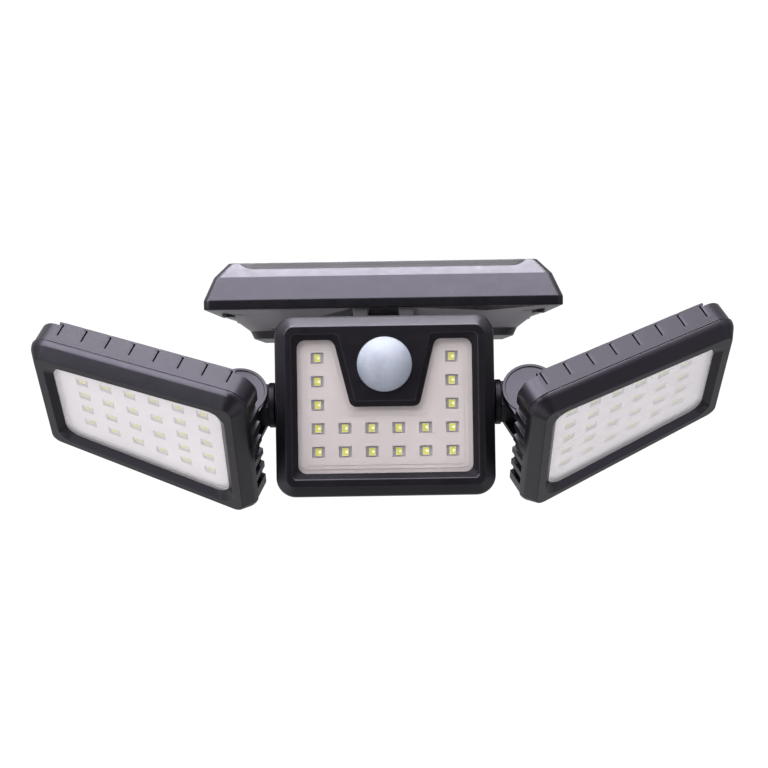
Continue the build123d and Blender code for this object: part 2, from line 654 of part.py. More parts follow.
def centre_emitters():
    """Places of the eighteen emitters: two full rows below and two columns of three above."""
    columns = [(column - 2.5) * PITCH_X for column in range(6)]
    full = [(x, FIRST_ROW + row * PITCH_Y) for row in range(2) for x in columns]
    arms = [(x, FIRST_ROW + row * PITCH_Y) for row in range(2, 5) for x in (columns[0], columns[-1])]
    return full + arms


CENTRE_SCREWS = [(x * (FACE_W / 2 - FACE_SCREW_IN), y * (FACE_H / 2 - FACE_SCREW_IN))
                 for x in (-1, 1) for y in (-1, 1)]

with BuildPart() as centre_bezel:
    with BuildSketch(FACE.offset(-FACE_BEZEL_D)):
        face_outline(0)
    extrude(amount=FACE_BEZEL_D - BEZEL_CHAMFER_D)
    with BuildSketch(FACE.offset(-BEZEL_CHAMFER_D)):
        face_outline(0)
    with BuildSketch(FACE):
        face_outline(BEZEL_CHAMFER_IN)
    loft(ruled=True)
    with BuildSketch(FACE):
        window_outline(WINDOW_SLOPE, NOTCH_R - WINDOW_SLOPE)
    with BuildSketch(FACE.offset(COVER_TOP)):
        window_outline(0, WINDOW_R)
    loft(ruled=True, mode=Mode.SUBTRACT)
    with BuildSketch(FACE.offset(COVER_TOP)):
        window_outline(BOARD_EDGE, WINDOW_R)
    extrude(amount=-(FACE_BEZEL_D - COVER_RECESS), mode=Mode.SUBTRACT)
    with BuildSketch(FACE):
        with Locations((0, SENSOR_UP)):
            Circle(SENSOR_R + COVER_GAP)
    extrude(amount=-FACE_BEZEL_D, mode=Mode.SUBTRACT)
    with BuildSketch(FACE.offset(-SENSOR_SEAT)):
        with Locations((0, SENSOR_UP)):
            Circle(SENSOR_R + SENSOR_FLANGE + COVER_GAP)
    extrude(amount=-FACE_BEZEL_D, mode=Mode.SUBTRACT)
    with BuildSketch(FACE.offset(-FACE_BEZEL_D)):
        with Locations(*CENTRE_SCREWS):
            Circle(SCREW_R)
    extrude(amount=FACE_BEZEL_D - BEZEL_CHAMFER_D, mode=Mode.SUBTRACT)
save(centre_bezel, "centre_bezel")

with BuildPart() as centre_cover:
    with BuildSketch(FACE.offset(COVER_LOW)):
        window_outline(COVER_LAP, WINDOW_R)
    extrude(amount=COVER_T)
save(centre_cover, "centre_cover")

with BuildPart() as centre_reflector:
    with BuildSketch(FACE.offset(REFLECTOR_LOW)):
        window_outline(COVER_LAP, WINDOW_R)
    extrude(amount=REFLECTOR_T + REFLECTOR_RIM)
    with BuildSketch(FACE.offset(REFLECTOR_TOP)):
        window_outline(COVER_LAP - REFLECTOR_RIM_W, WINDOW_R)
    extrude(amount=REFLECTOR_RIM, mode=Mode.SUBTRACT)
    with BuildSketch(FACE.offset(REFLECTOR_LOW)):
        with Locations(*centre_emitters()):
            Rectangle(POCKET_W, POCKET_H)
    extrude(amount=REFLECTOR_T, mode=Mode.SUBTRACT)
save(centre_reflector, "centre_reflector")

with BuildPart() as centre_led_board:
    with BuildSketch(FACE.offset(BOARD_LOW)):
        window_outline(COVER_LAP, WINDOW_R)
    extrude(amount=LED_BOARD_T)
save(centre_led_board, "centre_led_board")

with BuildPart() as centre_emitter_set:
    with BuildSketch(FACE.offset(REFLECTOR_LOW)):
        with Locations(*centre_emitters()):
            Rectangle(EMITTER_H, EMITTER_W)
    extrude(amount=EMITTER_T)
save(centre_emitter_set, "centre_emitters")

SENSOR_AXIS = Plane(origin=(0, FACE_Y, HEAD_Z + SENSOR_UP), x_dir=(1, 0, 0), z_dir=(0, -1, 0))

with BuildPart() as sensor_dome:
    with BuildSketch(SENSOR_AXIS.offset(-SENSOR_SEAT - SENSOR_SHELL)):
        Circle(SENSOR_R + SENSOR_FLANGE)
    extrude(amount=SENSOR_SHELL)
    with BuildSketch(SENSOR_AXIS.offset(-SENSOR_SEAT)):
        Circle(SENSOR_R)
    extrude(amount=SENSOR_COLLAR)
    with BuildSketch(Plane(origin=SENSOR_AXIS.origin, x_dir=(1, 0, 0), z_dir=(0, 0, 1))):
        with BuildLine():
            Line((0, SENSOR_SEAT - SENSOR_COLLAR), (SENSOR_R, SENSOR_SEAT - SENSOR_COLLAR))
            TangentArc((0, SENSOR_SEAT - SENSOR_COLLAR - SENSOR_RISE), (SENSOR_R, SENSOR_SEAT - SENSOR_COLLAR),
                       tangent=(1, 0))
            Line((0, SENSOR_SEAT - SENSOR_COLLAR - SENSOR_RISE), (0, SENSOR_SEAT - SENSOR_COLLAR))
        make_face()
    revolve(axis=Axis(SENSOR_AXIS.origin, (0, 1, 0)))
    with BuildSketch(Plane(origin=SENSOR_AXIS.origin, x_dir=(1, 0, 0), z_dir=(0, 0, 1))):
        with BuildLine():
            inner_r = SENSOR_R - SENSOR_SHELL
            Line((0, SENSOR_SEAT + SENSOR_SHELL), (inner_r, SENSOR_SEAT + SENSOR_SHELL))
            Line((inner_r, SENSOR_SEAT + SENSOR_SHELL), (inner_r, SENSOR_SEAT - SENSOR_COLLAR))
            TangentArc((0, SENSOR_SEAT - SENSOR_COLLAR - SENSOR_RISE + SENSOR_SHELL),
                       (inner_r, SENSOR_SEAT - SENSOR_COLLAR), tangent=(1, 0))
            Line((0, SENSOR_SEAT - SENSOR_COLLAR - SENSOR_RISE + SENSOR_SHELL), (0, SENSOR_SEAT + SENSOR_SHELL))
        make_face()
    revolve(axis=Axis(SENSOR_AXIS.origin, (0, 1, 0)), mode=Mode.SUBTRACT)
save(sensor_dome, "sensor_dome")

SENSOR_BOARD_TOP = -FACE_BEZEL_D
with BuildPart() as sensor_board:
    with BuildSketch(SENSOR_AXIS.offset(SENSOR_BOARD_TOP - LED_BOARD_T)):
        RectangleRounded(SENSOR_BOARD_W, SENSOR_BOARD_H, SENSOR_BOARD_R)
    extrude(amount=LED_BOARD_T)
save(sensor_board, "sensor_board")

with BuildPart() as sensor_element:
    with BuildSketch(SENSOR_AXIS.offset(SENSOR_BOARD_TOP)):
        Circle(DETECTOR_R)
    extrude(amount=DETECTOR_H)
    with BuildSketch(SENSOR_AXIS.offset(SENSOR_BOARD_TOP)):
        Circle(DETECTOR_R + DETECTOR_BRIM)
    extrude(amount=DETECTOR_BRIM_T)
    with BuildSketch(SENSOR_AXIS.offset(SENSOR_BOARD_TOP + DETECTOR_H)):
        Rectangle(*DETECTOR_SLOT)
    extrude(amount=-DETECTOR_SLOT_D, mode=Mode.SUBTRACT)
save(sensor_element, "sensor_element")

SHELL_TOP = -FACE_BEZEL_D - GASKET_T
SHELL_STEP = SHELL_TOP - CENTRE_SHELL_FLAT
SHELL_BACK = SHELL_TOP - CENTRE_BACK_D
BACK_H = FACE_H - 2 * FIT_GAP - CENTRE_TOP_IN - CENTRE_LOW_IN
BACK_UP = (CENTRE_LOW_IN - CENTRE_TOP_IN) / 2

with BuildPart() as centre_gasket:
    with BuildSketch(FACE.offset(SHELL_TOP)):
        face_outline(GASKET_IN)
        RectangleRounded(FACE_W - 2 * (GASKET_IN + GASKET_W), FACE_H - 2 * (GASKET_IN + GASKET_W),
                         FACE_R - GASKET_W, mode=Mode.SUBTRACT)
        with Locations(*CENTRE_SCREWS):
            Circle(SCREW_R + RUN_GAP, mode=Mode.SUBTRACT)
    extrude(amount=GASKET_T)
save(centre_gasket, "centre_gasket")

with BuildPart() as centre_shell:
    with BuildSketch(FACE.offset(SHELL_TOP)):
        face_outline(FIT_GAP)
    extrude(amount=-CENTRE_SHELL_FLAT)
    with BuildSketch(FACE.offset(SHELL_STEP)):
        face_outline(FIT_GAP)
    with BuildSketch(FACE.offset(SHELL_BACK)):
        with Locations((0, BACK_UP)):
            RectangleRounded(FACE_W - 2 * FIT_GAP, BACK_H, FACE_R - 2 * FIT_GAP)
    loft(ruled=True)
    with BuildSketch(FACE.offset(SHELL_TOP)):
        face_outline(FIT_GAP + SHELL_WALL)
    extrude(amount=-CENTRE_SHELL_FLAT, mode=Mode.SUBTRACT)
    with BuildSketch(FACE.offset(SHELL_STEP)):
        face_outline(FIT_GAP + SHELL_WALL)
    with BuildSketch(FACE.offset(SHELL_BACK + SHELL_WALL)):
        with Locations((0, BACK_UP)):
            RectangleRounded(FACE_W - 2 * FIT_GAP - 2 * SHELL_WALL, BACK_H - 2 * SHELL_WALL, FACE_R / 2)
    loft(ruled=True, mode=Mode.SUBTRACT)
    with BuildSketch(Plane(origin=(0, ARM_Y, ARM_Z), x_dir=(0, 1, 0), z_dir=(1, 0, 0))):
        Circle(SWIVEL_BOSS_R)
    extrude(amount=BOSS_X, both=True)
    with BuildSketch(Plane(origin=(0, ARM_Y, ARM_Z), x_dir=(0, 1, 0), z_dir=(1, 0, 0))):
        Circle(SWIVEL_BOSS_R)
    extrude(amount=FACE_W / 2 - FIT_GAP - PAD_T, both=True, mode=Mode.SUBTRACT)
    with BuildSketch(Plane(origin=(0, ARM_Y, ARM_Z), x_dir=(0, 1, 0), z_dir=(1, 0, 0))):
        Circle(SWIVEL_R + RUN_GAP)
    extrude(amount=BOSS_X, both=True, mode=Mode.SUBTRACT)
    for side in (-1, 1):
        with BuildSketch(Plane(origin=(side * BOSS_X, ARM_Y, ARM_Z), x_dir=(0, 1, 0), z_dir=(-side, 0, 0))):
            Circle(SPIGOT_R + RUN_GAP)
        extrude(amount=SPIGOT_L + RUN_GAP, mode=Mode.SUBTRACT)
    with BuildSketch(LUG_PLANE):
        Circle(TILT_R + TILT_RELIEF)
    extrude(amount=LUG_X + LUG_T + NUT_H + NUT_ROOM, both=True, mode=Mode.SUBTRACT)
    with BuildSketch(LUG_PLANE):
        Circle(TILT_R)
        Polygon((-TILT_R, 0), (-TILT_R, -TONGUE_DROP), (TONGUE_FOOT, -TONGUE_DROP), (TILT_R, 0), align=None)
    extrude(amount=TONGUE_W / 2, both=True)
    with BuildSketch(LUG_PLANE):
        Circle(TILT_PIN_R + RUN_GAP)
    extrude(amount=TONGUE_W, both=True, mode=Mode.SUBTRACT)
    with BuildSketch(FACE.offset(SHELL_TOP)):
        with Locations(*CENTRE_SCREWS):
            Circle(TOWER_R)
    extrude(amount=-SCREW_SEAT - TOWER_RIM)
    with BuildSketch(FACE.offset(SHELL_TOP)):
        with Locations(*CENTRE_SCREWS):
            Circle(SCREW_R + RUN_GAP)
    extrude(amount=-SCREW_SEAT, mode=Mode.SUBTRACT)
    with BuildSketch(FACE.offset(SHELL_TOP - SCREW_SEAT)):
        with Locations(*CENTRE_SCREWS):
            Circle(SCREW_HEAD_R + FIT_GAP)
    extrude(amount=-TOWER_RIM, mode=Mode.SUBTRACT)
    with BuildSketch(FACE.offset(SHELL_BACK + SHELL_WALL)):
        with Locations((-BOARD_RIB_X, -BOARD_RIB_Y), (BOARD_RIB_X, -BOARD_RIB_Y)):
            Circle(STANDOFF_R)
    extrude(amount=BOARD_LOW - SHELL_BACK - SHELL_WALL)
save(centre_shell, "centre_shell")

with BuildPart() as centre_screws:
    with BuildSketch(FACE.offset(SHELL_TOP - SCREW_SEAT)):
        with Locations(*CENTRE_SCREWS):
            Circle(SCREW_HEAD_R)
    extrude(amount=-SCREW_HEAD_H)
    with BuildSketch(FACE.offset(SHELL_TOP - SCREW_SEAT)):
        with Locations(*CENTRE_SCREWS):
            Circle(SCREW_R)
    extrude(amount=SCREW_SEAT + GASKET_T + FACE_SCREW_GRIP)
save(centre_screws, "centre_screws")

# ---------------------------------------------------------------- arms and side heads
TOP_PITCH = (HEAD_LENGTH - 2 * SLOT_ENDS) / (TOP_SLOTS - 1)
HEAD_OUT = HEAD_IN + HEAD_LENGTH


def half_height(along, inset=0.0):
    """Half of the side head's height at a distance outward from the hinge."""
    drop = inset / cos(atan(HEAD_SLOPE))
    return HEAD_IN_H / 2 - HEAD_SLOPE * (along - HEAD_IN) - drop


def head_outline(side, inset, radius):
    """Front view of a side head, drawn in alike on all four sides."""
    inner = HEAD_IN + inset
    outer = HEAD_OUT - inset
    tall = half_height(inner, inset)
    short = half_height(outer, inset)
    Polygon((side * inner, HEAD_UP - tall), (side * outer, HEAD_UP - short),
            (side * outer, HEAD_UP + short), (side * inner, HEAD_UP + tall), align=None)
    fillet(vertices(), radius)


def side_emitters(side):
    """Places of the twenty-six emitters: four in each outer column, five in the two inner ones."""
    places = []
    for column in range(6):
        rows = 5 if column < 2 else 4
        pitch = (COLUMN_IN_H - column * COLUMN_STEP) / (rows - 1)
        for row in range(rows):
            places.append((side * (FIRST_COLUMN + column * PITCH_X), HEAD_UP + (row - (rows - 1) / 2) * pitch))
    return places


def head_screws(side):
    """Places of the four screws of a side head."""
    inner = HEAD_IN + HEAD_SCREW_IN
    outer = HEAD_OUT - HEAD_SCREW_IN
    return [(side * x, HEAD_UP + y * half_height(x, HEAD_SCREW_IN)) for x in (inner, outer) for y in (-1, 1)]


def make_arm(side, name, pitch):
    """Arm: a flange on the centre head's boss, a neck, and a knuckle between the ears."""
    centre = (side * ARM_X, ARM_Y, ARM_Z)
    hinge = (0, -sin(radians(pitch)), cos(radians(pitch)))
    across = Plane(origin=centre, x_dir=(1, 0, 0), z_dir=hinge)
    outward = Plane(origin=(side * (BOSS_X + RUN_GAP), ARM_Y, ARM_Z), x_dir=hinge, z_dir=(side, 0, 0))
    neck = ARM_X - BOSS_X - RUN_GAP
    with BuildPart() as arm:
        with BuildSketch(across):
            Circle(KNUCKLE_R)
        extrude(amount=ARM_HALF, both=True)
        with BuildSketch(outward):
            Rectangle(2 * ARM_HALF, NECK_W)
        extrude(amount=neck)
        with BuildSketch(outward):
            Circle(FLANGE_R)
        extrude(amount=FLANGE_T)
        with BuildSketch(outward):
            Circle(SPIGOT_R)
        extrude(amount=-SPIGOT_L)
        with BuildSketch(across):
            Circle(HINGE_R + RUN_GAP)
        extrude(amount=KNUCKLE_R, both=True, mode=Mode.SUBTRACT)
        with BuildSketch(outward.offset(-SPIGOT_L)):
            Circle(SWIVEL_R)
        extrude(amount=SPIGOT_L + SWIVEL_GRIP, mode=Mode.SUBTRACT)
    save(arm, f"{name}_arm")

    inside_x = FACE_W / 2 - FIT_GAP - PAD_T
    inside = Plane(origin=(side * inside_x, ARM_Y, ARM_Z), x_dir=(0, 1, 0), z_dir=(side, 0, 0))
    with BuildPart() as washer:
        with BuildSketch(inside):
            Circle(SWIVEL_HEAD_R + SWIVEL_WASHER_RIM)
            Circle(SWIVEL_R + RUN_GAP, mode=Mode.SUBTRACT)
        extrude(amount=-WASHER_T)
    save(washer, f"{name}_swivel_washer")
    with BuildPart() as bolt:
        with BuildSketch(inside.offset(-WASHER_T)):
            Circle(SWIVEL_R)
        extrude(amount=WASHER_T + BOSS_X + RUN_GAP - inside_x + SWIVEL_GRIP)
        with BuildSketch(inside.offset(-WASHER_T)):
            Circle(SWIVEL_HEAD_R)
        extrude(amount=-SWIVEL_HEAD_H)
    save(bolt, f"{name}_swivel_bolt")


def make_head(side, name, pitch, turn):
    """Side head: bezel, cover, reflector, board, emitters, gasket, shell with ears, and its bolts."""
    lean = radians(pitch)
    yaw = radians(turn)
    hinge = (0, -sin(lean), cos(lean))
    along = (cos(yaw), side * sin(yaw) * cos(lean), side * sin(yaw) * sin(lean))
    facing = (side * sin(yaw), -cos(yaw) * cos(lean), -cos(yaw) * sin(lean))
    centre = (side * ARM_X, ARM_Y, ARM_Z)
    base = Plane(origin=centre, x_dir=along, z_dir=facing)
    across = Plane(origin=centre, x_dir=along, z_dir=hinge)
    front = base.offset(RIM_FORWARD)
    bezel_back = -HEAD_BEZEL_D
    shell_top = bezel_back - GASKET_T
    shell_back = shell_top - HEAD_SHELL_D
    plateau = shell_back - PLATEAU_D
    window_in = HEAD_BORDER
    stack_in = HEAD_BORDER - COVER_LAP
    stack_r = HEAD_WINDOW_R

    with BuildPart() as bezel:
        with BuildSketch(front.offset(bezel_back)):
            head_outline(side, 0, HEAD_R)
        extrude(amount=HEAD_WALL_LIP)
        with BuildSketch(front.offset(-BEZEL_CHAMFER_D)):
            head_outline(side, 0, HEAD_R)
        with BuildSketch(front):
            head_outline(side, BEZEL_CHAMFER_IN, HEAD_R - BEZEL_CHAMFER_IN)
        loft(ruled=True)
        with BuildSketch(front):
            head_outline(side, window_in - HEAD_WINDOW_SLOPE, HEAD_WINDOW_R)
        with BuildSketch(front.offset(COVER_TOP)):
            head_outline(side, window_in, HEAD_WINDOW_R)
        loft(ruled=True, mode=Mode.SUBTRACT)
        with BuildSketch(front.offset(COVER_TOP)):
            head_outline(side, stack_in - COVER_GAP, stack_r)
        extrude(amount=bezel_back, mode=Mode.SUBTRACT)
        with BuildSketch(front.offset(bezel_back)):
            with Locations(*head_screws(side)):
                Circle(SCREW_R)
        extrude(amount=HEAD_SCREW_GRIP, mode=Mode.SUBTRACT)
    save(bezel, f"{name}_bezel")

    with BuildPart() as cover:
        with BuildSketch(front.offset(COVER_LOW)):
            head_outline(side, stack_in, stack_r)
        extrude(amount=COVER_T)
    save(cover, f"{name}_cover")

    with BuildPart() as reflector:
        with BuildSketch(front.offset(REFLECTOR_LOW)):
            head_outline(side, stack_in, stack_r)
        extrude(amount=REFLECTOR_T + REFLECTOR_RIM)
        with BuildSketch(front.offset(REFLECTOR_TOP)):
            head_outline(side, stack_in + REFLECTOR_RIM_W, stack_r)
        extrude(amount=REFLECTOR_RIM, mode=Mode.SUBTRACT)
        with BuildSketch(front.offset(REFLECTOR_LOW)):
            with Locations(*side_emitters(side)):
                Rectangle(POCKET_W, POCKET_H)
        extrude(amount=REFLECTOR_T, mode=Mode.SUBTRACT)
    save(reflector, f"{name}_reflector")

    with BuildPart() as led_board:
        with BuildSketch(front.offset(BOARD_LOW)):
            head_outline(side, stack_in, stack_r)
        extrude(amount=LED_BOARD_T)
    save(led_board, f"{name}_led_board")

    with BuildPart() as emitters:
        with BuildSketch(front.offset(REFLECTOR_LOW)):
            with Locations(*side_emitters(side)):
                Rectangle(EMITTER_W, EMITTER_H)
        extrude(amount=EMITTER_T)
    save(emitters, f"{name}_emitters")

    with BuildPart() as gasket:
        with BuildSketch(front.offset(shell_top)):
            head_outline(side, GASKET_IN, HEAD_R - GASKET_IN)
        extrude(amount=GASKET_T)
        with BuildSketch(front.offset(shell_top)):
            head_outline(side, GASKET_IN + GASKET_W, HEAD_R - GASKET_W)
        extrude(amount=GASKET_T, mode=Mode.SUBTRACT)
        with BuildSketch(front.offset(shell_top)):
            with Locations(*head_screws(side)):
                Circle(SCREW_R + RUN_GAP)
        extrude(amount=GASKET_T, mode=Mode.SUBTRACT)
    save(gasket, f"{name}_gasket")

    with BuildPart() as shell:
        with BuildSketch(front.offset(shell_back)):
            head_outline(side, FIT_GAP, HEAD_R)
        extrude(amount=HEAD_SHELL_D)
        with BuildSketch(front.offset(plateau)):
            Polygon(*plateau_points(side), align=None)
        extrude(amount=PLATEAU_D)
        with BuildSketch(front.offset(shell_back + SHELL_WALL)):
            head_outline(side, FIT_GAP + SHELL_WALL, HEAD_R - SHELL_WALL)
        extrude(amount=HEAD_SHELL_D, mode=Mode.SUBTRACT)
        with BuildSketch(front.offset(plateau)):
            for sign in (-1, 1):
                with Locations(*slot_places(side, sign)):
                    Rectangle(SLOT_W, 2 * SLOT_DEEP)
                    Polygon((0, 0), (side * (SLOT_W / 2 + FIN_SLOPE_W), 0), (0, -sign * FIN_SLOPE_D), align=None)
            with Locations(*pocket_places(side)):
                Rectangle(2 * SLOT_DEEP, POCKET_TALL)
        extrude(amount=PLATEAU_D + SLOT_RUN, mode=Mode.SUBTRACT)
        for sign in (-1, 1):
            with BuildSketch(across.offset(sign * (EAR_OUT - EAR_T))):
                Circle(EAR_R)
                with Locations((0, (RIM_FORWARD + plateau) / -2)):
                    Rectangle(2 * EAR_R, RIM_FORWARD + plateau)
            extrude(amount=sign * EAR_T)
        with BuildSketch(across.offset(EAR_OUT)):
            Circle(EAR_R)
            Circle(EAR_R - EAR_RIM_W, mode=Mode.SUBTRACT)
        extrude(amount=EAR_RIM_H)
        with BuildSketch(across):
            Circle(HINGE_R)
        extrude(amount=2 * EAR_OUT, both=True, mode=Mode.SUBTRACT)
        with BuildSketch(across.offset(EAR_OUT)):
            Circle(HINGE_RECESS_R)
        extrude(amount=-HINGE_HEAD_H, mode=Mode.SUBTRACT)
        with BuildSketch(front.offset(shell_back)):
            with Locations(*head_screws(side)):
                Circle(BOSS_R)
        extrude(amount=HEAD_SHELL_D)
        with BuildSketch(front.offset(shell_back)):
            with Locations(*head_screws(side)):
                Circle(SCREW_R + RUN_GAP)
        extrude(amount=HEAD_SHELL_D, mode=Mode.SUBTRACT)
        with BuildSketch(front.offset(shell_back)):
            with Locations(*head_screws(side)):
                Circle(SCREW_HEAD_R + RUN_GAP)
        extrude(amount=SCREW_HEAD_H, mode=Mode.SUBTRACT)
        with BuildSketch(front.offset(shell_back + SHELL_WALL)):
            with Locations((side * POST_NEAR, HEAD_UP), (side * POST_FAR, HEAD_UP)):
                Circle(STANDOFF_R)
        extrude(amount=BOARD_LOW - shell_back - SHELL_WALL)
    save(shell, f"{name}_shell")

    with BuildPart() as screws:
        with BuildSketch(front.offset(shell_back + SCREW_HEAD_H)):
            with Locations(*head_screws(side)):
                Circle(SCREW_HEAD_R)
        extrude(amount=-SCREW_HEAD_H)
        with BuildSketch(front.offset(shell_back + SCREW_HEAD_H)):
            with Locations(*head_screws(side)):
                Circle(SCREW_R)
        extrude(amount=HEAD_SHELL_D - SCREW_HEAD_H + GASKET_T + HEAD_SCREW_GRIP)
    save(screws, f"{name}_screws")

    with BuildPart() as bolt:
        with BuildSketch(across.offset(EAR_OUT - HINGE_HEAD_H)):
            Circle(HINGE_HEAD_R)
        extrude(amount=HINGE_HEAD_H)
        with BuildSketch(across.offset(EAR_OUT - HINGE_HEAD_H)):
            Circle(HINGE_R)
        extrude(amount=-(2 * EAR_OUT - HINGE_HEAD_H + NUT_H + HINGE_END))
    save(bolt, f"{name}_hinge_bolt")

    with BuildPart() as nut:
        with BuildSketch(across.offset(-EAR_OUT)):
            hex_outline(NUT_R)
            Circle(HINGE_R, mode=Mode.SUBTRACT)
        extrude(amount=-NUT_H)
    save(nut, f"{name}_hinge_nut")


def plateau_points(side):
    """Raised middle of the shell's back, as tall as the shell."""
    inner = HEAD_IN + PLATEAU_IN
    outer = HEAD_OUT - PLATEAU_IN
    tall = half_height(inner, FIT_GAP)
    short = half_height(outer, FIT_GAP)
    return [(side * inner, HEAD_UP - tall), (side * outer, HEAD_UP - short),
            (side * outer, HEAD_UP + short), (side * inner, HEAD_UP + tall)]


def slot_places(side, sign):
    """Places of the narrow slots across the top wall (sign 1) or the bottom wall (sign -1) of the shell."""
    lean = degrees(atan(HEAD_SLOPE))
    reaches = [HEAD_IN + SLOT_ENDS + index * TOP_PITCH for index in range(TOP_SLOTS)]
    return [Location((side * reach, HEAD_UP + sign * half_height(reach, FIT_GAP)), -side * sign * lean)
            for reach in reaches]


def pocket_places(side):
    """Places of the pockets between the fins of both end walls."""
    places = []
    for reach, count in ((HEAD_IN + FIT_GAP, IN_POCKETS), (HEAD_OUT - FIT_GAP, OUT_POCKETS)):
        for index in range(count):
            places.append((side * reach, HEAD_UP + (index - (count - 1) / 2) * END_PITCH))
    return places


for side, name, pitch, turn in ((-1, "left", LEFT_PITCH, LEFT_TURN), (1, "right", RIGHT_PITCH, RIGHT_TURN)):
    make_arm(side, name, pitch)
    make_head(side, name, pitch, turn)
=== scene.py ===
"""Looks of a solar motion sensor security light with three lamp heads.

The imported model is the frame: metres, +Z up, front towards -Y, origin in the
middle of the wall plate's back face. Each section finishes one sub-part.
"""
import bpy, bmesh, json
from math import atan, cos, radians, sin, tau
from mathutils import Matrix, Vector

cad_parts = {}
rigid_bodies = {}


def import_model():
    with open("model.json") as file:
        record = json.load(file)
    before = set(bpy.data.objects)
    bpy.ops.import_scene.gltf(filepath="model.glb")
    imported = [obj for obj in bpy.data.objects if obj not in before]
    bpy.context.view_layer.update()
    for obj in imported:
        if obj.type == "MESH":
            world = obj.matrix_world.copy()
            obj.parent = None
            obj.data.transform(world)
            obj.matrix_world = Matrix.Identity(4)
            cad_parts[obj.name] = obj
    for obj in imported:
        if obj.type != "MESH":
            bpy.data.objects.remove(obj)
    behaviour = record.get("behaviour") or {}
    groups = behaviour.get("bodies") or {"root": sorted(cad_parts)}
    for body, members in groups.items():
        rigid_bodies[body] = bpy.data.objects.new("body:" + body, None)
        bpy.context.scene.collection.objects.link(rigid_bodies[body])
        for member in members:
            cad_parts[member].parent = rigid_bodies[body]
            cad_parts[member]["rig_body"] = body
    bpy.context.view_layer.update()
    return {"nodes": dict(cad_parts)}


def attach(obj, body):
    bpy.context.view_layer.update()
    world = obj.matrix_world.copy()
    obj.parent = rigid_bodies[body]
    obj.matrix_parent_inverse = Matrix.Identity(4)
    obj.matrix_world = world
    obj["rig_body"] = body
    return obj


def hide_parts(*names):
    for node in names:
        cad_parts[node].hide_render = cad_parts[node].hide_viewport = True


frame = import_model()
MM = 0.001

# ---------------------------------------------------------------- shared sizes (mm)
FACE_Y = -135.3          # plane of the centre head's front rim
FACE_Z = -45.9           # middle of the centre head
SENSOR_UP = 18.3         # sensor above the middle of the head
ARM_X = 65.0             # arm hinges beside the middle
ARM_Y = -110.1
ARM_Z = -45.04
RIM_FORWARD = 32.25      # rim of a side head in front of its hinge axis
HEAD_UP = 5.2            # middle of a side head above its hinge
COVER_RECESS = 2.7
COVER_T = 2.0
REFLECTOR_RIM = 0.55
WINDOW_W = 76.3          # window of the centre head
WINDOW_H = 58.2
NOTCH_TOP_W = 44.8       # sensor island that hangs into it
NOTCH_LOW_W = 30.4
NOTCH_LOW = -0.4
SENSOR_R = 12.0
TRAY_SKIRT_Z = -11.3     # upper edge of the tray's foot
TRAY_SLOPES = (-0.975, -0.3)   # z of the outward direction of its sloping faces, which are painted lighter for the light they catch from below
RIM_DEPTH = 6.0          # front bezels, from the rim to the outer shoulder
SHOULDER_NEAR = 0.05
CENTRE_SHOULDER_R = 1.2
SIDE_SHOULDER_R = 1.6
BEZEL_EDGE_R = 0.35
SUNK_BORDER = 4.5        # sunk matt walls round the centre window
SUNK_FROM = 0.4
HEAD_IN = -17.9          # inner end of a side head
HEAD_LENGTH = 104.3
HEAD_IN_H = 90.4
HEAD_OUT_H = 72.9
FIT_GAP = 0.3            # shells inside their bezels
TOP_SLOTS = 8            # slots across each long wall of a side shell
SLOT_ENDS = 11.5
SLOT_W = 1.0
SLOT_DEEP = 1.5
FIN_SLOPE_W = 1.5
SLOT_CLOSED = ((-11.6, -8.5), (-18.85, -17.9))   # closed stretches of each slot, behind the rim
SLOT_BAND = (-19.0, -8.4)      # stretch of the shell with the closed slots, behind the rim
SLOT_NEAR = 0.3
SHELL_EDGE_R = 0.2             # radii that the moulds leave
MOULDED_EDGES = {"panel_frame": 0.4, "centre_shell": 0.4, "wall_plate": 0.3, "mode_button": 0.25}
TRAY_EDGE_R = 0.4
ARM_EDGE_R = 0.3
NUT_EDGE_R = 0.25
EMITTER_LIP = 0.28       # moulded lip round each emitter's window, and the window's depth
EMITTER_SINK = 0.08
GLINT_LOW = (0.0, -0.55, 0.6)    # corners of its painted highlight square, from the middle of its underside
GLINT_HIGH = (1.0, 0.55, 0.78)
RIDGE_INSETS = (1.5, 3.3)      # raised lines on the centre plate, inward from the window's edge
RIDGE_R = 2.2
RIDGE_W = 0.5
RIDGE_H = 0.22
CELL_CLIP = 1.4          # clipped corners of the cells
RIBBON_AT = (0.27, 0.73)       # ribbons along each cell, as shares of its width
RIBBON_W = 1.0
RIBBON_H = 0.02
SEAL_W = 2.0             # sealed edge of the pane, and its drop to the backing
SEAL_DROP = 0.35
SCREW_HEAD_R = 2.8       # heads and shanks of the screws and hinge bolts
SCREW_HEAD_H = 1.8
SCREW_R = 1.5
HINGE_HEAD_R = 3.2
HINGE_HEAD_H = 1.5
HINGE_R = 2.5
CROSS_LINES = {1: 0.16, 3: 0.56, 5: 0.68}   # grid lines of a screw's face, as shares of its radius


def side_frame(side, pitch, turn):
    """Axes of a side head: x along it to the right, y up its hinge, z out of its face."""
    t, p = radians(pitch), radians(turn)
    along = Vector((cos(p), side * sin(p) * cos(t), side * sin(p) * sin(t)))
    up = Vector((0, -sin(t), cos(t)))
    face = Vector((side * sin(p), -cos(p) * cos(t), -cos(p) * sin(t)))
    place = Matrix((along, up, face)).transposed().to_4x4()
    place.translation = Vector((side * ARM_X, ARM_Y, ARM_Z)) * MM
    return place


FACE_FRAME = Matrix.Translation(Vector((0, FACE_Y, FACE_Z)) * MM) @ Matrix.Rotation(radians(90), 4, "X")
# pitch and turn of the side heads, in degrees
SIDE_FRAMES = {"left": side_frame(-1, 55.0, 22.5), "right": side_frame(1, 58.4, 27.4)}
SIDES = {"left": -1, "right": 1}


# ---------------------------------------------------------------- finishes
GRAIN_DEEP = 0.02 * MM   # depth of the grain in plastic and plated steel


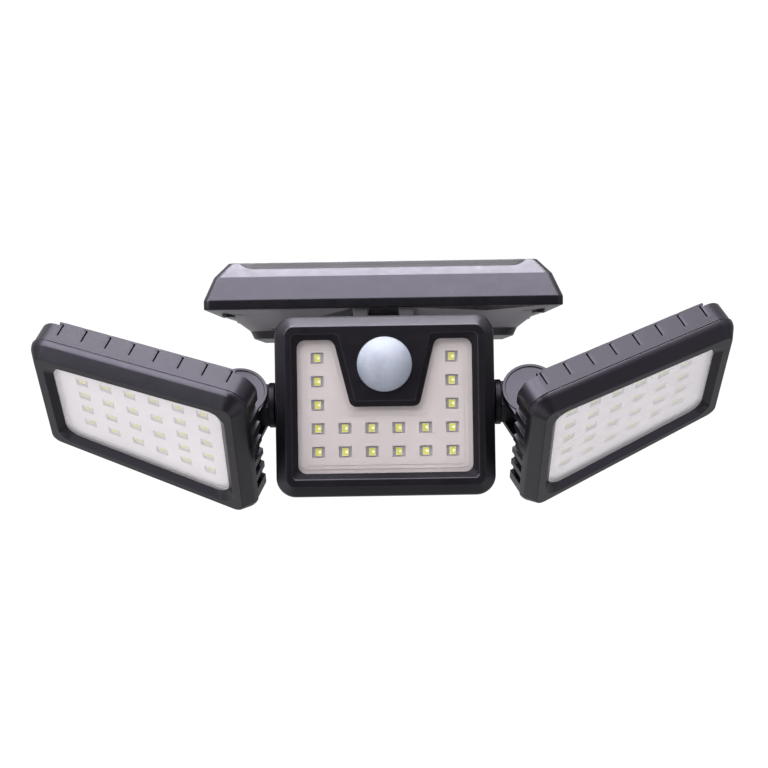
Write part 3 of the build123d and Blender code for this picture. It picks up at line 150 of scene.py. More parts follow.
def new_finish(name):
    finish = bpy.data.materials.new(name)
    finish.use_nodes = True
    tree = finish.node_tree
    shader = tree.nodes["Principled BSDF"]
    return finish, tree, shader


def node(tree, kind, links=(), **values):
    """One shader node, with its sockets set by name and its inputs joined."""
    made = tree.nodes.new(kind)
    for key, value in values.items():
        if hasattr(made, key):
            setattr(made, key, value)
        else:
            made.inputs[key.replace("_", " ")].default_value = value
    for socket, source in links:
        tree.links.new(source, made.inputs[socket])
    return made


def place_of(tree):
    return tree.nodes.new("ShaderNodeTexCoord").outputs["Object"]


def noise(tree, scale, detail=3.0, roughness=0.55):
    return node(tree, "ShaderNodeTexNoise", [("Vector", place_of(tree))],
                Scale=scale, Detail=detail, Roughness=roughness)


def spread(tree, source, low, high, start=0.3, end=0.7):
    """source between start and end turned into a value between low and high."""
    made = node(tree, "ShaderNodeMapRange", [("Value", source)])
    for socket, value in (("From Min", start), ("From Max", end), ("To Min", low), ("To Max", high)):
        made.inputs[socket].default_value = value
    return made.outputs["Result"]


def tint(tree, source, dark, light, start=0.3, end=0.7):
    """A colour between dark and light by source."""
    ramp = node(tree, "ShaderNodeValToRGB", [("Fac", source)])
    ramp.color_ramp.elements[0].position = start
    ramp.color_ramp.elements[1].position = end
    ramp.color_ramp.elements[0].color = (*dark, 1)
    ramp.color_ramp.elements[1].color = (*light, 1)
    return ramp.outputs["Color"]


def calc(tree, operation, first, second=None):
    """One step of arithmetic between sockets or numbers."""
    made = node(tree, "ShaderNodeMath", operation=operation)
    for socket, value in zip(made.inputs, (first, second)):
        if isinstance(value, (int, float)):
            socket.default_value = value
        elif value is not None:
            tree.links.new(value, socket)
    return made.outputs[0]


def bump(tree, height, strength, distance):
    made = node(tree, "ShaderNodeBump", [("Height", height)], Strength=strength, Distance=distance)
    return made.outputs["Normal"]


def moulded(name, dark, light, rough=(0.32, 0.42), grain=2600, specular=0.42, reflection_tint=(1, 1, 1)):
    """Injection moulded plastic: fine eroded grain, soft flow marks and handling marks in its gloss."""
    finish, tree, shader = new_finish(name)
    flow = noise(tree, 38, 3)
    marks = noise(tree, 240, 4, 0.7)
    tree.links.new(tint(tree, flow.outputs["Fac"], dark, light), shader.inputs["Base Color"])
    tree.links.new(spread(tree, marks.outputs["Fac"], *rough), shader.inputs["Roughness"])
    pores = noise(tree, grain, 2)
    tree.links.new(bump(tree, pores.outputs["Fac"], 0.35, GRAIN_DEEP), shader.inputs["Normal"])
    shader.inputs["Specular IOR Level"].default_value = specular
    shader.inputs["Specular Tint"].default_value = (*reflection_tint, 1)
    return finish


def screw_metal(name, colour, rough=(0.22, 0.4)):
    """Plated steel with turning marks."""
    finish, tree, shader = new_finish(name)
    marks = noise(tree, 900, 4, 0.7)
    stain = noise(tree, 160, 3)
    dark = tuple(c * 0.75 for c in colour)
    tree.links.new(tint(tree, stain.outputs["Fac"], dark, colour), shader.inputs["Base Color"])
    tree.links.new(spread(tree, marks.outputs["Fac"], *rough), shader.inputs["Roughness"])
    tree.links.new(bump(tree, marks.outputs["Fac"], 0.2, GRAIN_DEEP), shader.inputs["Normal"])
    shader.inputs["Metallic"].default_value = 1.0
    return finish


# Violet tint painted into the reflections of the black plastics: a painted reflection colour that stands for
# the tint of the light they reflect.
VIOLET_REFLECTION = (0.86, 0.81, 1.0)
SHELL_BLACK = moulded(
    "shell_black", (0.0028, 0.0025, 0.0034), (0.0042, 0.0038, 0.0050),
    rough=(0.27, 0.35), specular=0.51, reflection_tint=VIOLET_REFLECTION)
# The arms are the shells' black plastic with far less reflection: painted shade for the shadow that falls on
# them.
ARM_SHADED_BLACK = moulded(
    "arm_black", (0.0040, 0.0036, 0.0048), (0.0060, 0.0055, 0.0070),
    rough=(0.34, 0.42), specular=0.17, reflection_tint=VIOLET_REFLECTION)
FRAME_BLACK = moulded(
    "frame_black", (0.0024, 0.0022, 0.0030), (0.0037, 0.0034, 0.0044),
    rough=(0.27, 0.35), specular=0.51, reflection_tint=VIOLET_REFLECTION)
# The tray is one black plastic in two painted tones: grey where its sloping faces catch light from below,
# darker on its foot, floor and lugs.
TRAY_PAINTED_LIGHT = moulded("tray_painted_light", (0.330, 0.314, 0.346), (0.360, 0.342, 0.376), rough=(0.3, 0.4))
TRAY_SHADED_COPY = moulded(
    "tray_shaded_copy", (0.048, 0.046, 0.052), (0.060, 0.057, 0.064),
    rough=(0.3, 0.4), specular=0.3)
MATTE_BLACK = moulded(
    "matte_black", (0.0045, 0.0041, 0.0050), (0.0062, 0.0057, 0.0068),
    rough=(0.46, 0.56), specular=0.13, reflection_tint=VIOLET_REFLECTION)
SEAL_RUBBER = moulded(
    "seal_rubber", (0.012, 0.012, 0.012), (0.02, 0.02, 0.02),
    rough=(0.6, 0.75), specular=0.3)
DARK_PARTS = moulded("dark_parts", (0.015, 0.015, 0.016), (0.03, 0.03, 0.032))
CELL_WRAP = moulded("cell_wrap", (0.02, 0.10, 0.22), (0.03, 0.13, 0.27), rough=(0.25, 0.35))
STEEL = screw_metal("zinc_steel", (0.56, 0.56, 0.57))
BLACK_STEEL = screw_metal("black_steel", (0.05, 0.05, 0.055))
BUTTON_RUBBER = moulded(
    "button_rubber", (0.02, 0.02, 0.022), (0.035, 0.035, 0.038),
    rough=(0.5, 0.62))
REFLECTOR_CREAM = moulded(
    "reflector_cream", (0.330, 0.293, 0.296), (0.360, 0.322, 0.325),
    rough=(0.35, 0.5), grain=1800)
REFLECTOR_WHITE = moulded(
    "reflector_white", (0.74, 0.70, 0.72), (0.80, 0.76, 0.78),
    rough=(0.35, 0.5), grain=1800)
# Painted shade: the centre head's LED board is darkened for the shade in the pockets round its emitters.
BOARD_PAINTED_SHADE = moulded("board_painted_shade", (0.24, 0.23, 0.25), (0.30, 0.29, 0.31), rough=(0.3, 0.4))
BACKING_BLACK = moulded(
    "backing_black", (0.008, 0.009, 0.014), (0.012, 0.013, 0.02),
    rough=(0.3, 0.4))
PANE_EDGE = moulded("pane_edge", (0.104, 0.102, 0.110), (0.124, 0.121, 0.131), rough=(0.3, 0.42))
RIBBON = screw_metal("tinned_ribbon", (0.62, 0.63, 0.66), (0.25, 0.4))
# Painted light: the side heads' LED board is lightened so that their pockets show almost no shade.
BOARD_PAINTED_LIGHT = moulded("board_painted_light", (0.72, 0.70, 0.72), (0.78, 0.76, 0.78), rough=(0.3, 0.4))
BOARD_GREEN = moulded("board_green", (0.55, 0.55, 0.52), (0.66, 0.66, 0.63), rough=(0.3, 0.4))


def solar_silicon():
    """Blue-black silicon with fine silver fingers across it."""
    finish, tree, shader = new_finish("silicon")
    fingers = node(tree, "ShaderNodeTexWave", [("Vector", place_of(tree))],
                   bands_direction="Y", Scale=170.0, Distortion=0.0)
    crystal = noise(tree, 120, 2)
    blue = tint(tree, crystal.outputs["Fac"], (0.005, 0.008, 0.022), (0.009, 0.014, 0.036))
    lines = spread(tree, fingers.outputs["Fac"], 0.0, 0.55, 0.97, 0.995)
    mix = node(tree, "ShaderNodeMix", [("Factor", lines)], data_type="RGBA")
    tree.links.new(blue, mix.inputs[6])
    mix.inputs[7].default_value = (0.20, 0.21, 0.23, 1)
    tree.links.new(mix.outputs[2], shader.inputs["Base Color"])
    tree.links.new(spread(tree, crystal.outputs["Fac"], 0.28, 0.42), shader.inputs["Roughness"])
    return finish


def clear_glass(name, veil, base, haze=5.0):
    """Clear sheet: what is behind shows through, with a veil of reflection that grows at a glance."""
    finish, tree, shader = new_finish(name)
    smudge = noise(tree, 60, 3)
    shader.inputs["Base Color"].default_value = (*base, 1)
    tree.links.new(spread(tree, smudge.outputs["Fac"], 0.05, 0.12), shader.inputs["Roughness"])
    clear = tree.nodes.new("ShaderNodeBsdfTransparent")
    glance = calc(tree, "POWER", node(tree, "ShaderNodeLayerWeight").outputs["Facing"], haze)
    share = calc(tree, "MAXIMUM", glance, veil)
    mix = node(tree, "ShaderNodeMixShader", [(0, share), (1, clear.outputs[0]), (2, shader.outputs[0])])
    tree.links.new(mix.outputs[0], tree.nodes["Material Output"].inputs["Surface"])
    return finish


def facet_line(tree, steps, start):
    """One near every whole step and nothing between them."""
    off_middle = calc(tree, "ABSOLUTE", calc(tree, "SUBTRACT", calc(tree, "FRACT", steps), 0.5))
    return spread(tree, off_middle, 0.0, 1.0, start, 0.5)


DOME_RINGS = 4
DOME_SPOKES = 12


def dome_plastic():
    """Milky lens of the motion sensor, with rings of small facets moulded inside it."""
    finish, tree, shader = new_finish("dome_plastic")
    centred = node(tree, "ShaderNodeMapping", [("Vector", place_of(tree))])
    centred.inputs["Location"].default_value = (0, -FACE_Y * MM, -(FACE_Z + SENSOR_UP) * MM)
    axes = node(tree, "ShaderNodeSeparateXYZ", [("Vector", centred.outputs["Vector"])]).outputs
    squares = [calc(tree, "POWER", axes[axis], 2.0) for axis in "XZ"]
    out = calc(tree, "SQRT", calc(tree, "ADD", *squares))
    ring = calc(tree, "MULTIPLY", out, DOME_RINGS / (SENSOR_R * MM))
    spoke = calc(tree, "MULTIPLY", calc(tree, "ARCTAN2", axes["Z"], axes["X"]), DOME_SPOKES / tau)
    lines = calc(tree, "MAXIMUM", facet_line(tree, ring, 0.455), facet_line(tree, spoke, 0.47))
    milk = noise(tree, 120, 3)
    # The milky tone varies at random; along the facet lines it is darker, painted shade in the grooves
    # between the facets.
    milk_and_groove_shade = calc(tree, "SUBTRACT", milk.outputs["Fac"], calc(tree, "MULTIPLY", lines, 0.25))
    milky = tint(tree, milk_and_groove_shade, (0.172, 0.187, 0.226), (0.250, 0.268, 0.319), 0.0, 0.5)
    tree.links.new(milky, shader.inputs["Base Color"])
    tree.links.new(bump(tree, lines, 0.14, -0.0001), shader.inputs["Normal"])
    tree.links.new(spread(tree, noise(tree, 300).outputs["Fac"], 0.46, 0.54), shader.inputs["Roughness"])
    shader.inputs["Specular IOR Level"].default_value = 0.14
    shader.inputs["Subsurface Weight"].default_value = 0.3
    shader.inputs["Subsurface Scale"].default_value = 0.003
    return finish


SILICON = solar_silicon()
PANE_GLASS = clear_glass("pane_glass", 0.06, (0.10, 0.10, 0.12))
COVER_CLEAR = clear_glass("cover_clear", 0.04, (0.50, 0.48, 0.50))
COVER_HAZY = clear_glass("cover_hazy", 0.06, (0.84, 0.83, 0.85), haze=2.2)
DOME = dome_plastic()
PHOSPHOR = moulded("phosphor", (0.36, 0.36, 0.020), (0.43, 0.42, 0.040), rough=(0.3, 0.45))
EMITTER_BODY = moulded("emitter_body", (0.38, 0.37, 0.21), (0.45, 0.44, 0.27), rough=(0.3, 0.45))
# Paler copies of the emitters' body and phosphor for the side heads: painted light for the veil that their
# hazy covers lay over them.
BODY_PAINTED_WASH = moulded("body_pale", (0.62, 0.61, 0.42), (0.70, 0.69, 0.50), rough=(0.3, 0.45))
PHOSPHOR_PAINTED_WASH = moulded("phosphor_painted_wash", (0.66, 0.66, 0.10), (0.74, 0.73, 0.16), rough=(0.3, 0.45))
# Paler, glossier finish of the small square on each emitter: a painted highlight standing for the glint on
# its window.
EMITTER_GLINT = moulded("emitter_glint", (0.56, 0.56, 0.38), (0.64, 0.64, 0.47), rough=(0.2, 0.3))
DETECTOR_CAN = screw_metal("detector_can", (0.5, 0.5, 0.48))

SLOT_FINISH = {
    "black_shell": SHELL_BLACK, "grey_bevel": FRAME_BLACK, "steel": STEEL, "black_steel": BLACK_STEEL,
    "seal": SEAL_RUBBER, "dark_parts": DARK_PARTS, "cell_wrap": CELL_WRAP, "board": BOARD_GREEN,
    "button": BUTTON_RUBBER, "reflector": REFLECTOR_WHITE, "cells": SILICON, "pane": PANE_GLASS,
    "clear_cover": COVER_CLEAR, "dome": DOME, "emitter": PHOSPHOR, "detector": DETECTOR_CAN,
}


NODE_FINISH = {
    "centre_reflector": REFLECTOR_CREAM, "tray": TRAY_PAINTED_LIGHT, "panel_backing": BACKING_BLACK,
    "left_arm": ARM_SHADED_BLACK, "right_arm": ARM_SHADED_BLACK,
    "centre_led_board": BOARD_PAINTED_SHADE, "left_led_board": BOARD_PAINTED_LIGHT, "right_led_board": BOARD_PAINTED_LIGHT,
    "left_cover": COVER_HAZY, "right_cover": COVER_HAZY,
}


def finish_nodes():
    """Every CAD node gets the finish of its material slot, or its own."""
    for name, part in frame["nodes"].items():
        for held in part.material_slots:
            held.material = NODE_FINISH.get(name) or SLOT_FINISH[held.material.name.split(".")[0]]


finish_nodes()


# ---------------------------------------------------------------- moulded shells
WIDE_FACE = 30 * MM * MM
HARD_TURN = 24           # degrees of an edge that a mould rounds
BROAD_TURN = 12          # and between two wide faces


def cad_copy(name):
    """The CAD part's own surface as one closed mesh, its flat faces whole."""
    shape = bmesh.new()
    shape.from_mesh(frame["nodes"][name].data)
    for face in shape.faces:
        face.smooth = False
    bmesh.ops.remove_doubles(shape, verts=shape.verts, dist=0.000002)
    bmesh.ops.dissolve_limit(shape, angle_limit=radians(0.4), verts=shape.verts, edges=shape.edges)
    return shape


def edges_to_round(shape, hard, broad, where=None):
    """Edges that turn by hard degrees, or by broad degrees between two wide faces."""
    found = []
    for edge in shape.edges:
        turn = edge.calc_face_angle(0.0)
        wide = len(edge.link_faces) == 2 and min(f.calc_area() for f in edge.link_faces) > WIDE_FACE
        if turn > radians(hard) or (wide and turn > radians(broad)):
            if where is None or all(where(v.co) for v in edge.verts):
                found.append(edge)
    return found


def round_edges(shape, edges, width, segments=2):
    bmesh.ops.bevel(shape, geom=edges, offset=width * MM, offset_type="OFFSET", affect="EDGES",
                    segments=segments, profile=0.5, material=-1, clamp_overlap=False, loop_slide=True)
    for face in shape.faces:
        face.smooth = True


def stands_for(shape, name, *finishes):
    """The shape as a finished piece in place of a CAD part, riding as that part does."""
    part = frame["nodes"][name]
    mesh = bpy.data.meshes.new(name + "_fine")
    shape.to_mesh(mesh)
    shape.free()
    for finish in finishes or [part.material_slots[0].material]:
        mesh.materials.append(finish)
    piece = bpy.data.objects.new(name + "_fine", mesh)
    bpy.context.scene.collection.objects.link(piece)
    even = piece.modifiers.new("flat faces", "WEIGHTED_NORMAL")
    even.weight = 50
    even.keep_sharp = True
    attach(piece, part["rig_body"])
    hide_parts(name)


def solids_of(name, place):
    """Lowest and highest corner of each separate solid of a CAD part, in the axes of place."""
    shape = cad_copy(name)
    into = place.inverted()
    left = set(shape.verts)
    found = []
    while left:
        reach = [left.pop()]
        points = []
        while reach:
            vert = reach.pop()
            points.append(into @ vert.co)
            beside = {edge.other_vert(vert) for edge in vert.link_edges} & left
            left -= beside
            reach.extend(beside)
        low = Vector([min(p[i] for p in points) for i in range(3)])
        high = Vector([max(p[i] for p in points) for i in range(3)])
        found.append((low, high))
    shape.free()
    return sorted(found, key=lambda box: [round(c, 5) for c in box[0]])


def block(shape, low, high, place=Matrix()):
    """A block between two corners, in the axes of place; gives its faces."""
    low, high = Vector(low), Vector(high)
    size = Matrix.Diagonal((*(high - low), 1))
    made = bmesh.ops.create_cube(shape, size=1.0, matrix=place @ Matrix.Translation((low + high) / 2) @ size)
    return list({face for vert in made["verts"] for face in vert.link_faces})


def copies(shape, one, places):
    """A small shape repeated at several places; the small shape is used up."""
    mesh = bpy.data.meshes.new("repeated")
    one.to_mesh(mesh)
    one.free()
    for place in places:
        start = len(shape.verts)
        shape.from_mesh(mesh)
        shape.verts.ensure_lookup_table()
        bmesh.ops.transform(shape, matrix=place, verts=shape.verts[start:])
    bpy.data.meshes.remove(mesh)


def soft_part(name, width):
    """A moulded part with the small radius that a mould leaves on its edges."""
    shape = cad_copy(name)
    round_edges(shape, edges_to_round(shape, HARD_TURN, BROAD_TURN), width)
    stands_for(shape, name)


def bezel(name, place, shoulder_r):
    """Front bezel: a generous radius round its outer shoulder, small ones elsewhere."""
    shape = cad_copy(name)
    into = place.inverted()

    def on_shoulder(point):
        return abs((into @ point).z + RIM_DEPTH * MM) < SHOULDER_NEAR * MM

    round_edges(shape, edges_to_round(shape, 20, 12, on_shoulder), shoulder_r, 4)
    round_edges(shape, edges_to_round(shape, 34, 30), BEZEL_EDGE_R)
    return shape


def bezels():
    """The three front bezels; the sunk walls round the centre window are matt."""
    shape = bezel("centre_bezel", FACE_FRAME, CENTRE_SHOULDER_R)
    into = FACE_FRAME.inverted()
    for face in shape.faces:
        spot = (into @ face.calc_center_median()) / MM
        inside = abs(spot.x) < WINDOW_W / 2 + SUNK_BORDER and abs(spot.y) < WINDOW_H / 2 + SUNK_BORDER
        face.material_index = 1 if inside and spot.z < -SUNK_FROM else 0
    stands_for(shape, "centre_bezel", SHELL_BLACK, MATTE_BLACK)
    for side in SIDES:
        rim = SIDE_FRAMES[side] @ Matrix.Translation((0, 0, RIM_FORWARD * MM))
        stands_for(bezel(side + "_bezel", rim, SIDE_SHOULDER_R), side + "_bezel")


HEAD_SLOPE = (HEAD_IN_H - HEAD_OUT_H) / 2 / HEAD_LENGTH


def half_height(reach):
    """Half of a side shell's height at a distance outward from the hinge."""
    return HEAD_IN_H / 2 - HEAD_SLOPE * (reach - HEAD_IN) - FIT_GAP * (1 + HEAD_SLOPE * HEAD_SLOPE) ** 0.5


def close_slot_ends(shape, side):
    """The slots of a side shell stop short of its front and back edges, so their ends are closed."""
    sign = SIDES[side]
    for up in (-1, 1):
        for index in range(TOP_SLOTS):
            reach = HEAD_IN + SLOT_ENDS + index * (HEAD_LENGTH - 2 * SLOT_ENDS) / (TOP_SLOTS - 1)
            wall = Vector((sign * reach, HEAD_UP + up * half_height(reach), RIM_FORWARD))
            spot = Matrix.Translation(wall * MM)
            lean = Matrix.Rotation(-sign * up * atan(HEAD_SLOPE), 4, "Z")
            mirror = Matrix.Diagonal((sign, up, 1, 1))
            for back, front in SLOT_CLOSED:
                low = Vector((-SLOT_W / 2, -SLOT_DEEP, back)) * MM
                high = Vector((SLOT_W / 2 + FIN_SLOPE_W, -0.005, front)) * MM
                made = block(shape, low, high, SIDE_FRAMES[side] @ spot @ lean @ mirror)
                bmesh.ops.recalc_face_normals(shape, faces=made)


def side_shell(side):
    """Rear shell of a side head, with short slots across its top and bottom walls."""
    name = side + "_shell"
    shape = cad_copy(name)
    into = SIDE_FRAMES[side].inverted()

    def by_slots(point):
        spot = (into @ point) / MM
        floor_y = half_height(abs(spot.x)) - SLOT_DEEP - SLOT_NEAR
        return SLOT_BAND[0] < spot.z - RIM_FORWARD < SLOT_BAND[1] and abs(spot.y - HEAD_UP) > floor_y

    turns = edges_to_round(shape, HARD_TURN, BROAD_TURN)
    soft = [e for e in turns if not all(by_slots(v.co) for v in e.verts)]
    round_edges(shape, soft, SHELL_EDGE_R)
    for edge in shape.edges:
        if edge.calc_face_angle(0.0) > radians(20) and all(by_slots(v.co) for v in edge.verts):
            edge.smooth = False
    close_slot_ends(shape, side)
    stands_for(shape, name)


def tray_shell():
    """Tray of one black plastic: its sloping faces are painted a matt grey for the light they catch from
    below; its foot, floor and hinge lugs get a darker copy.
    """
    shape = cad_copy("tray")
    round_edges(shape, edges_to_round(shape, HARD_TURN, BROAD_TURN), TRAY_EDGE_R)
    for face in shape.faces:
        slopes = TRAY_SLOPES[0] < face.normal.z < TRAY_SLOPES[1]
        face.material_index = 0 if slopes and face.calc_center_median().z > TRAY_SKIRT_Z * MM else 1
    stands_for(shape, "tray", TRAY_PAINTED_LIGHT, TRAY_SHADED_COPY)


tray_shell()
for name, width in MOULDED_EDGES.items():
    soft_part(name, width)
bezels()
for side in SIDES:
    side_shell(side)
    soft_part(side + "_arm", ARM_EDGE_R)
    soft_part(side + "_hinge_nut", NUT_EDGE_R)


# ---------------------------------------------------------------- emitters
def emitter_sets():
    """Each emitter: a moulded body, a sunk phosphor window and a small paler, glossier raised square beside
    its middle, a painted highlight.
    """
    frames = {"centre": FACE_FRAME, **SIDE_FRAMES}
    for name, place in frames.items():
        boxes = solids_of(name + "_emitters", place)
        size = boxes[0][1] - boxes[0][0]
        one = bmesh.new()
        half = Vector((size.x / 2, size.y / 2, size.z))
        top = max(block(one, (-half.x, -half.y, 0), half), key=lambda face: face.calc_center_median().z)
        bmesh.ops.inset_individual(one, faces=[top], thickness=EMITTER_LIP * MM, depth=-EMITTER_SINK * MM,
                                   use_even_offset=True)
        top.material_index = 1
        for face in block(one, Vector(GLINT_LOW) * MM, Vector(GLINT_HIGH) * MM):
            face.material_index = 2
        shape = bmesh.new()
        middles = [Vector(((a.x + b.x) / 2, (a.y + b.y) / 2, a.z)) for a, b in boxes]
        copies(shape, one, [place @ Matrix.Translation(middle) for middle in middles])
        # The side heads' emitters get the paler copies, painted light for the veil of their covers.
        look = (EMITTER_BODY, PHOSPHOR) if name == "centre" else (BODY_PAINTED_WASH, PHOSPHOR_PAINTED_WASH)
        stands_for(shape, name + "_emitters", *look, EMITTER_GLINT)


emitter_sets()


# ---------------------------------------------------------------- reflector of the centre head
def window_points(grow):
    """Corners of the U-shaped window, grown by a width."""
    slant = (NOTCH_TOP_W - NOTCH_LOW_W) / 2 / (WINDOW_H / 2 - NOTCH_LOW)
    top, low = WINDOW_H / 2 + grow, NOTCH_LOW + grow
    half_low = NOTCH_LOW_W / 2 - grow * ((1 + slant * slant) ** 0.5 - slant)
    half_top = half_low + slant * (top - low)
    side = WINDOW_W / 2 + grow
    return ((-side, -top), (side, -top), (side, top), (half_top, top),
            (half_low, low), (-half_low, low), (-half_top, top), (-side, top))


def reflector_ridges():
    """Fine raised lines round the window, inside its edge, on the cream plate."""
    shape = cad_copy("centre_reflector")
    face_z = -(COVER_RECESS + COVER_T + REFLECTOR_RIM)
    for inset in RIDGE_INSETS:
        line = bmesh.new()
        points = [Vector((x, y, face_z + 0.01)) * MM for x, y in window_points(-inset)]
        corners = [line.verts.new(FACE_FRAME @ point) for point in points]
        line.faces.new(corners)
        bmesh.ops.bevel(line, geom=corners, offset=RIDGE_R * MM, offset_type="OFFSET", affect="VERTICES",
                        segments=4, profile=0.5, material=-1)
        ring = bmesh.ops.inset_region(line, faces=line.faces[:], thickness=RIDGE_W * MM,
                                      use_even_offset=True, use_boundary=True)["faces"]
        inner = [face for face in line.faces if face not in ring]
        bmesh.ops.delete(line, geom=inner, context="FACES")
        raised = bmesh.ops.extrude_face_region(line, geom=line.faces[:])["geom"]
        up = [v for v in raised if isinstance(v, bmesh.types.BMVert)]
        bmesh.ops.translate(line, vec=(0, -RIDGE_H * MM, 0), verts=up)
        bmesh.ops.recalc_face_normals(line, faces=line.faces[:])
        copies(shape, line, [Matrix()])
    stands_for(shape, "centre_reflector")


reflector_ridges()


# ---------------------------------------------------------------- solar cells and pane
def cells_with_ribbons():
    """Each cell has clipped corners and two tinned ribbons along it."""
    shape = bmesh.new()
    for low, high in solids_of("solar_cells", Matrix()):
        made = block(shape, low, high)
        edges = {edge for face in made for edge in face.edges}
        posts = [e for e in edges if abs(e.verts[0].co.z - e.verts[1].co.z) > 0.1 * MM]
        bmesh.ops.bevel(shape, geom=posts, offset=CELL_CLIP * MM, offset_type="OFFSET", affect="EDGES",
                        segments=1, profile=0.5, material=-1)
        for share in RIBBON_AT:
            x = low.x + share * (high.x - low.x)
            half = RIBBON_W / 2 * MM
            for face in block(shape, (x - half, low.y, low.z), (x + half, high.y, high.z + RIBBON_H * MM)):
                face.material_index = 1
    stands_for(shape, "solar_cells", SILICON, RIBBON)


def pane_with_edge():
    """Clear pane with a grey sealed edge all round, which reaches down to the backing."""
    shape = cad_copy("solar_pane")
    under = [f for f in shape.faces if f.normal.z < -0.9]
    border = bmesh.ops.inset_region(shape, faces=under, thickness=SEAL_W * MM, use_even_offset=True)["faces"]
    made = bmesh.ops.extrude_face_region(shape, geom=border)["geom"]
    bmesh.ops.delete(shape, geom=border, context="FACES_ONLY")
    low = [v for v in made if isinstance(v, bmesh.types.BMVert)]
    bmesh.ops.translate(shape, vec=(0, 0, -SEAL_DROP * MM), verts=low)
    border = [f for f in made if isinstance(f, bmesh.types.BMFace)]
    for face in shape.faces:
        face.material_index = 1 if abs(face.normal.z) < 0.9 or face in border else 0
    stands_for(shape, "solar_pane", PANE_GLASS, PANE_EDGE)


def backing_with_edge():
    """Black backing sheet; its cut edge is the same grey as the sealed edge of the pane."""
    shape = cad_copy("panel_backing")
    for face in shape.faces:
        face.material_index = 1 if abs(face.normal.z) < 0.5 else 0
    stands_for(shape, "panel_backing", BACKING_BLACK, PANE_EDGE)


cells_with_ribbons()
pane_with_edge()
backing_with_edge()


# ---------------------------------------------------------------- screws
def cross_screw(head_r, head_h, shank_r, length):
    """A cross-head screw along z with its face at zero: the recess is sunk into a small grid of faces."""
    one = bmesh.new()
    bmesh.ops.create_grid(one, x_segments=5, y_segments=5, size=5.0)
    recess = []
    for face in one.faces:
        if sorted(round(abs(c)) for c in face.calc_center_median()[:2]) in ([0, 0], [0, 2]):
            recess.append(face)
    for vert in one.verts:
        x, y = (CROSS_LINES[round(abs(c))] * head_r * (1 if c > 0 else -1) for c in vert.co[:2])
        vert.co = (x, y, 0)
    rim = [e for e in one.edges if e.is_boundary]
    bmesh.ops.inset_region(one, faces=recess, thickness=0.05 * head_r, depth=-0.6 * head_h,
                           use_even_offset=True)
    outline = ((0.9 * head_r, 0.0), (head_r, 0.14 * head_h), (head_r, head_h), (shank_r, head_h),
               (shank_r, length))
    for radius, depth in outline:
        made = bmesh.ops.extrude_edge_only(one, edges=rim)["geom"]
        rim = [e for e in made if isinstance(e, bmesh.types.BMEdge)]
        for vert in (v for v in made if isinstance(v, bmesh.types.BMVert)):
            out = vert.co.xy.normalized() * radius
            vert.co = (out.x, out.y, -depth)
    bmesh.ops.holes_fill(one, edges=[e for e in one.edges if e.is_boundary], sides=0)
    bmesh.ops.recalc_face_normals(one, faces=one.faces[:])
    return one


def screws_of(name, place, head_r, head_h, shank_r):
    """Cross-head screws in place of a CAD part's plain ones; z of place points out of their heads."""
    boxes = solids_of(name, place)
    one = cross_screw(head_r * MM, head_h * MM, shank_r * MM, boxes[0][1].z - boxes[0][0].z)
    shape = bmesh.new()
    tops = [Vector(((a.x + b.x) / 2, (a.y + b.y) / 2, b.z)) for a, b in boxes]
    copies(shape, one, [place @ Matrix.Translation(top) for top in tops])
    stands_for(shape, name)


DOWN = Matrix.Rotation(radians(180), 4, "X")
BACK = Matrix.Rotation(radians(-90), 4, "X")
screws_of("frame_screws", DOWN, SCREW_HEAD_R, SCREW_HEAD_H, SCREW_R)
screws_of("centre_screws", BACK, SCREW_HEAD_R, SCREW_HEAD_H, SCREW_R)
for side in SIDES:
    screws_of(side + "_screws", SIDE_FRAMES[side] @ DOWN, SCREW_HEAD_R, SCREW_HEAD_H, SCREW_R)
    screws_of(side + "_hinge_bolt", SIDE_FRAMES[side] @ BACK, HINGE_HEAD_R, HINGE_HEAD_H, HINGE_R)


# ---------------------------------------------------------------- camera, light and floor
FILM_WIDTH = 36.0        # millimetres, as the lens
LENS = 94.08
CAMERA_AT = (-0.0003, -1.0117, -0.0363)
CAMERA_ROLL = -0.9       # degrees
FLOOR_Z = -1.25
FLOOR_HALF = 9.0
# brightness of the surroundings by height, from straight below (0) to straight above (1)
SKY_STOPS = ((0.0, 0.07), (0.05, 0.11), (0.16, 0.18), (0.30, 0.17), (0.5, 0.10), (1.0, 0.35))
SKY_POWER = 3.0
SKY_SEEN = 1.06          # brightness of the surroundings in the picture itself
AIM = (0, -0.1, 0)
FILL_AIM = (0, -0.1, -0.04)
LIGHTS = (               # name, place, width, depth, power
    ("overhead_front", (-0.15, -0.98, 0.98), 1.6, 0.46, 12.5),
    ("overhead_middle", (-0.15, -0.48, 1.0), 1.6, 0.54, 7.2),
    ("overhead_strip", (0, -0.08, 0.98), 0.85, 0.23, 14.0),
    ("key_left", (-0.86, -1.1, 0.58), 0.9, 0.7, 12.0),
)
FILLS = (
    ("front_fill", (0, -1.6, 0.2), 1.3, 0.9, 5.5),
    ("low_fill", (0.14, -0.75, -1.05), 1.3, 0.9, 7.6),
)


def photo_camera():
    """The camera of the photograph: level, almost straight on, with a long lens."""
    lens = bpy.data.cameras.new("photo_camera")
    lens.sensor_width = FILM_WIDTH
    lens.lens = LENS
    lens.clip_start = 0.05
    holder = bpy.data.objects.new("photo_camera", lens)
    holder.matrix_world = (
        Matrix.Translation(CAMERA_AT)
        @ Matrix.Rotation(radians(90), 4, "X")
        @ Matrix.Rotation(radians(CAMERA_ROLL), 4, "Z")
    )
    bpy.context.scene.collection.objects.link(holder)
    bpy.context.scene.camera = holder


def softbox(name, place, width, depth, power, target=AIM):
    """A rectangular light that points at the product."""
    light = bpy.data.lights.new(name, "AREA")
    light.shape = "RECTANGLE"
    light.size = width
    light.size_y = depth
    light.energy = power
    holder = bpy.data.objects.new(name, light)
    holder.location = place
    holder.rotation_euler = (Vector(target) - Vector(place)).to_track_quat("-Z", "Y").to_euler()
    bpy.context.scene.collection.objects.link(holder)
    return holder


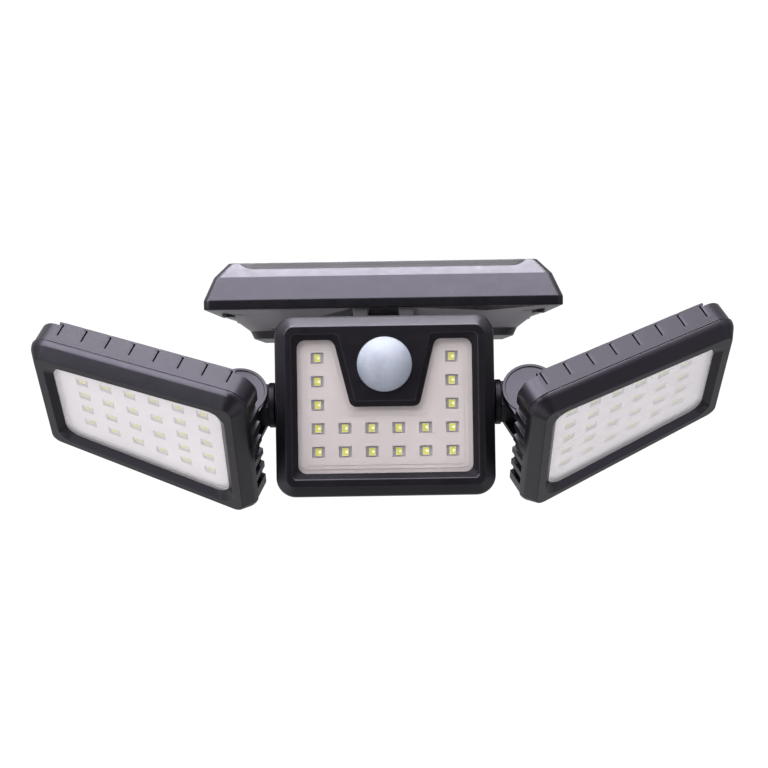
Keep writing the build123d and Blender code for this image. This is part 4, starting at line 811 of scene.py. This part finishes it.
def pale_room():
    """Surroundings that light the product: pale all round, dim behind the camera."""
    world = bpy.data.worlds.new("room")
    bpy.context.scene.world = world
    world.use_nodes = True
    tree = world.node_tree
    back = tree.nodes["Background"]
    back.inputs["Color"].default_value = (1, 0.985, 1, 1)
    sky = tree.nodes.new("ShaderNodeTexCoord").outputs["Generated"]
    direction = node(tree, "ShaderNodeSeparateXYZ", [("Vector", sky)])
    ahead = spread(tree, direction.outputs["Y"], 0.10, 1.0, -0.95, -0.6)
    before = spread(tree, direction.outputs["Y"], 2.2, 1.0, -0.5, 0.1)
    beside = spread(tree, direction.outputs["X"], 1.35, 0.85, -0.8, 0.8)
    height = node(tree, "ShaderNodeValToRGB", [("Fac", spread(tree, direction.outputs["Z"], 0, 1, -1, 1))])
    stops = height.color_ramp.elements
    for place, level in SKY_STOPS:
        stop = {0.0: stops[0], 1.0: stops[-1]}.get(place) or stops.new(place)
        stop.color = (level, level, level, 1)
    level = calc(tree, "MULTIPLY", calc(tree, "MULTIPLY", height.outputs["Color"], ahead), before)
    glow = calc(tree, "MULTIPLY", calc(tree, "MULTIPLY", level, beside), SKY_POWER)
    seen = tree.nodes.new("ShaderNodeLightPath").outputs["Is Camera Ray"]
    strength = node(tree, "ShaderNodeMix", [("Factor", seen), ("A", glow)])
    strength.inputs["B"].default_value = SKY_SEEN
    tree.links.new(strength.outputs["Result"], back.inputs["Strength"])


def floor():
    """Pale floor far below the light, which fades into the white surroundings."""
    shape = bmesh.new()
    bmesh.ops.create_grid(shape, x_segments=8, y_segments=8, size=FLOOR_HALF,
                          matrix=Matrix.Translation((0, 0, FLOOR_Z)))
    mesh = bpy.data.meshes.new("floor")
    shape.to_mesh(mesh)
    shape.free()
    finish, tree, shader = new_finish("floor_white")
    place = node(tree, "ShaderNodeVectorMath", [(0, place_of(tree))], operation="LENGTH")
    far = spread(tree, place.outputs["Value"], 0.0, SKY_SEEN, 0.7, 1.6)
    pale = tint(tree, noise(tree, 3).outputs["Fac"], (0.34, 0.34, 0.34), (0.36, 0.36, 0.36))
    tree.links.new(pale, shader.inputs["Base Color"])
    shader.inputs["Roughness"].default_value = 0.9
    shader.inputs["Emission Color"].default_value = (1, 1, 1, 1)
    tree.links.new(far, shader.inputs["Emission Strength"])
    mesh.materials.append(finish)
    ground = bpy.data.objects.new("floor", mesh)
    ground.visible_glossy = False
    ground.visible_diffuse = False
    bpy.context.scene.collection.objects.link(ground)


photo_camera()
pale_room()
floor()
for values in LIGHTS:
    softbox(*values)
for values in FILLS:
    softbox(*values, FILL_AIM).visible_glossy = False
bpy.context.scene.view_settings.view_transform = "Standard"
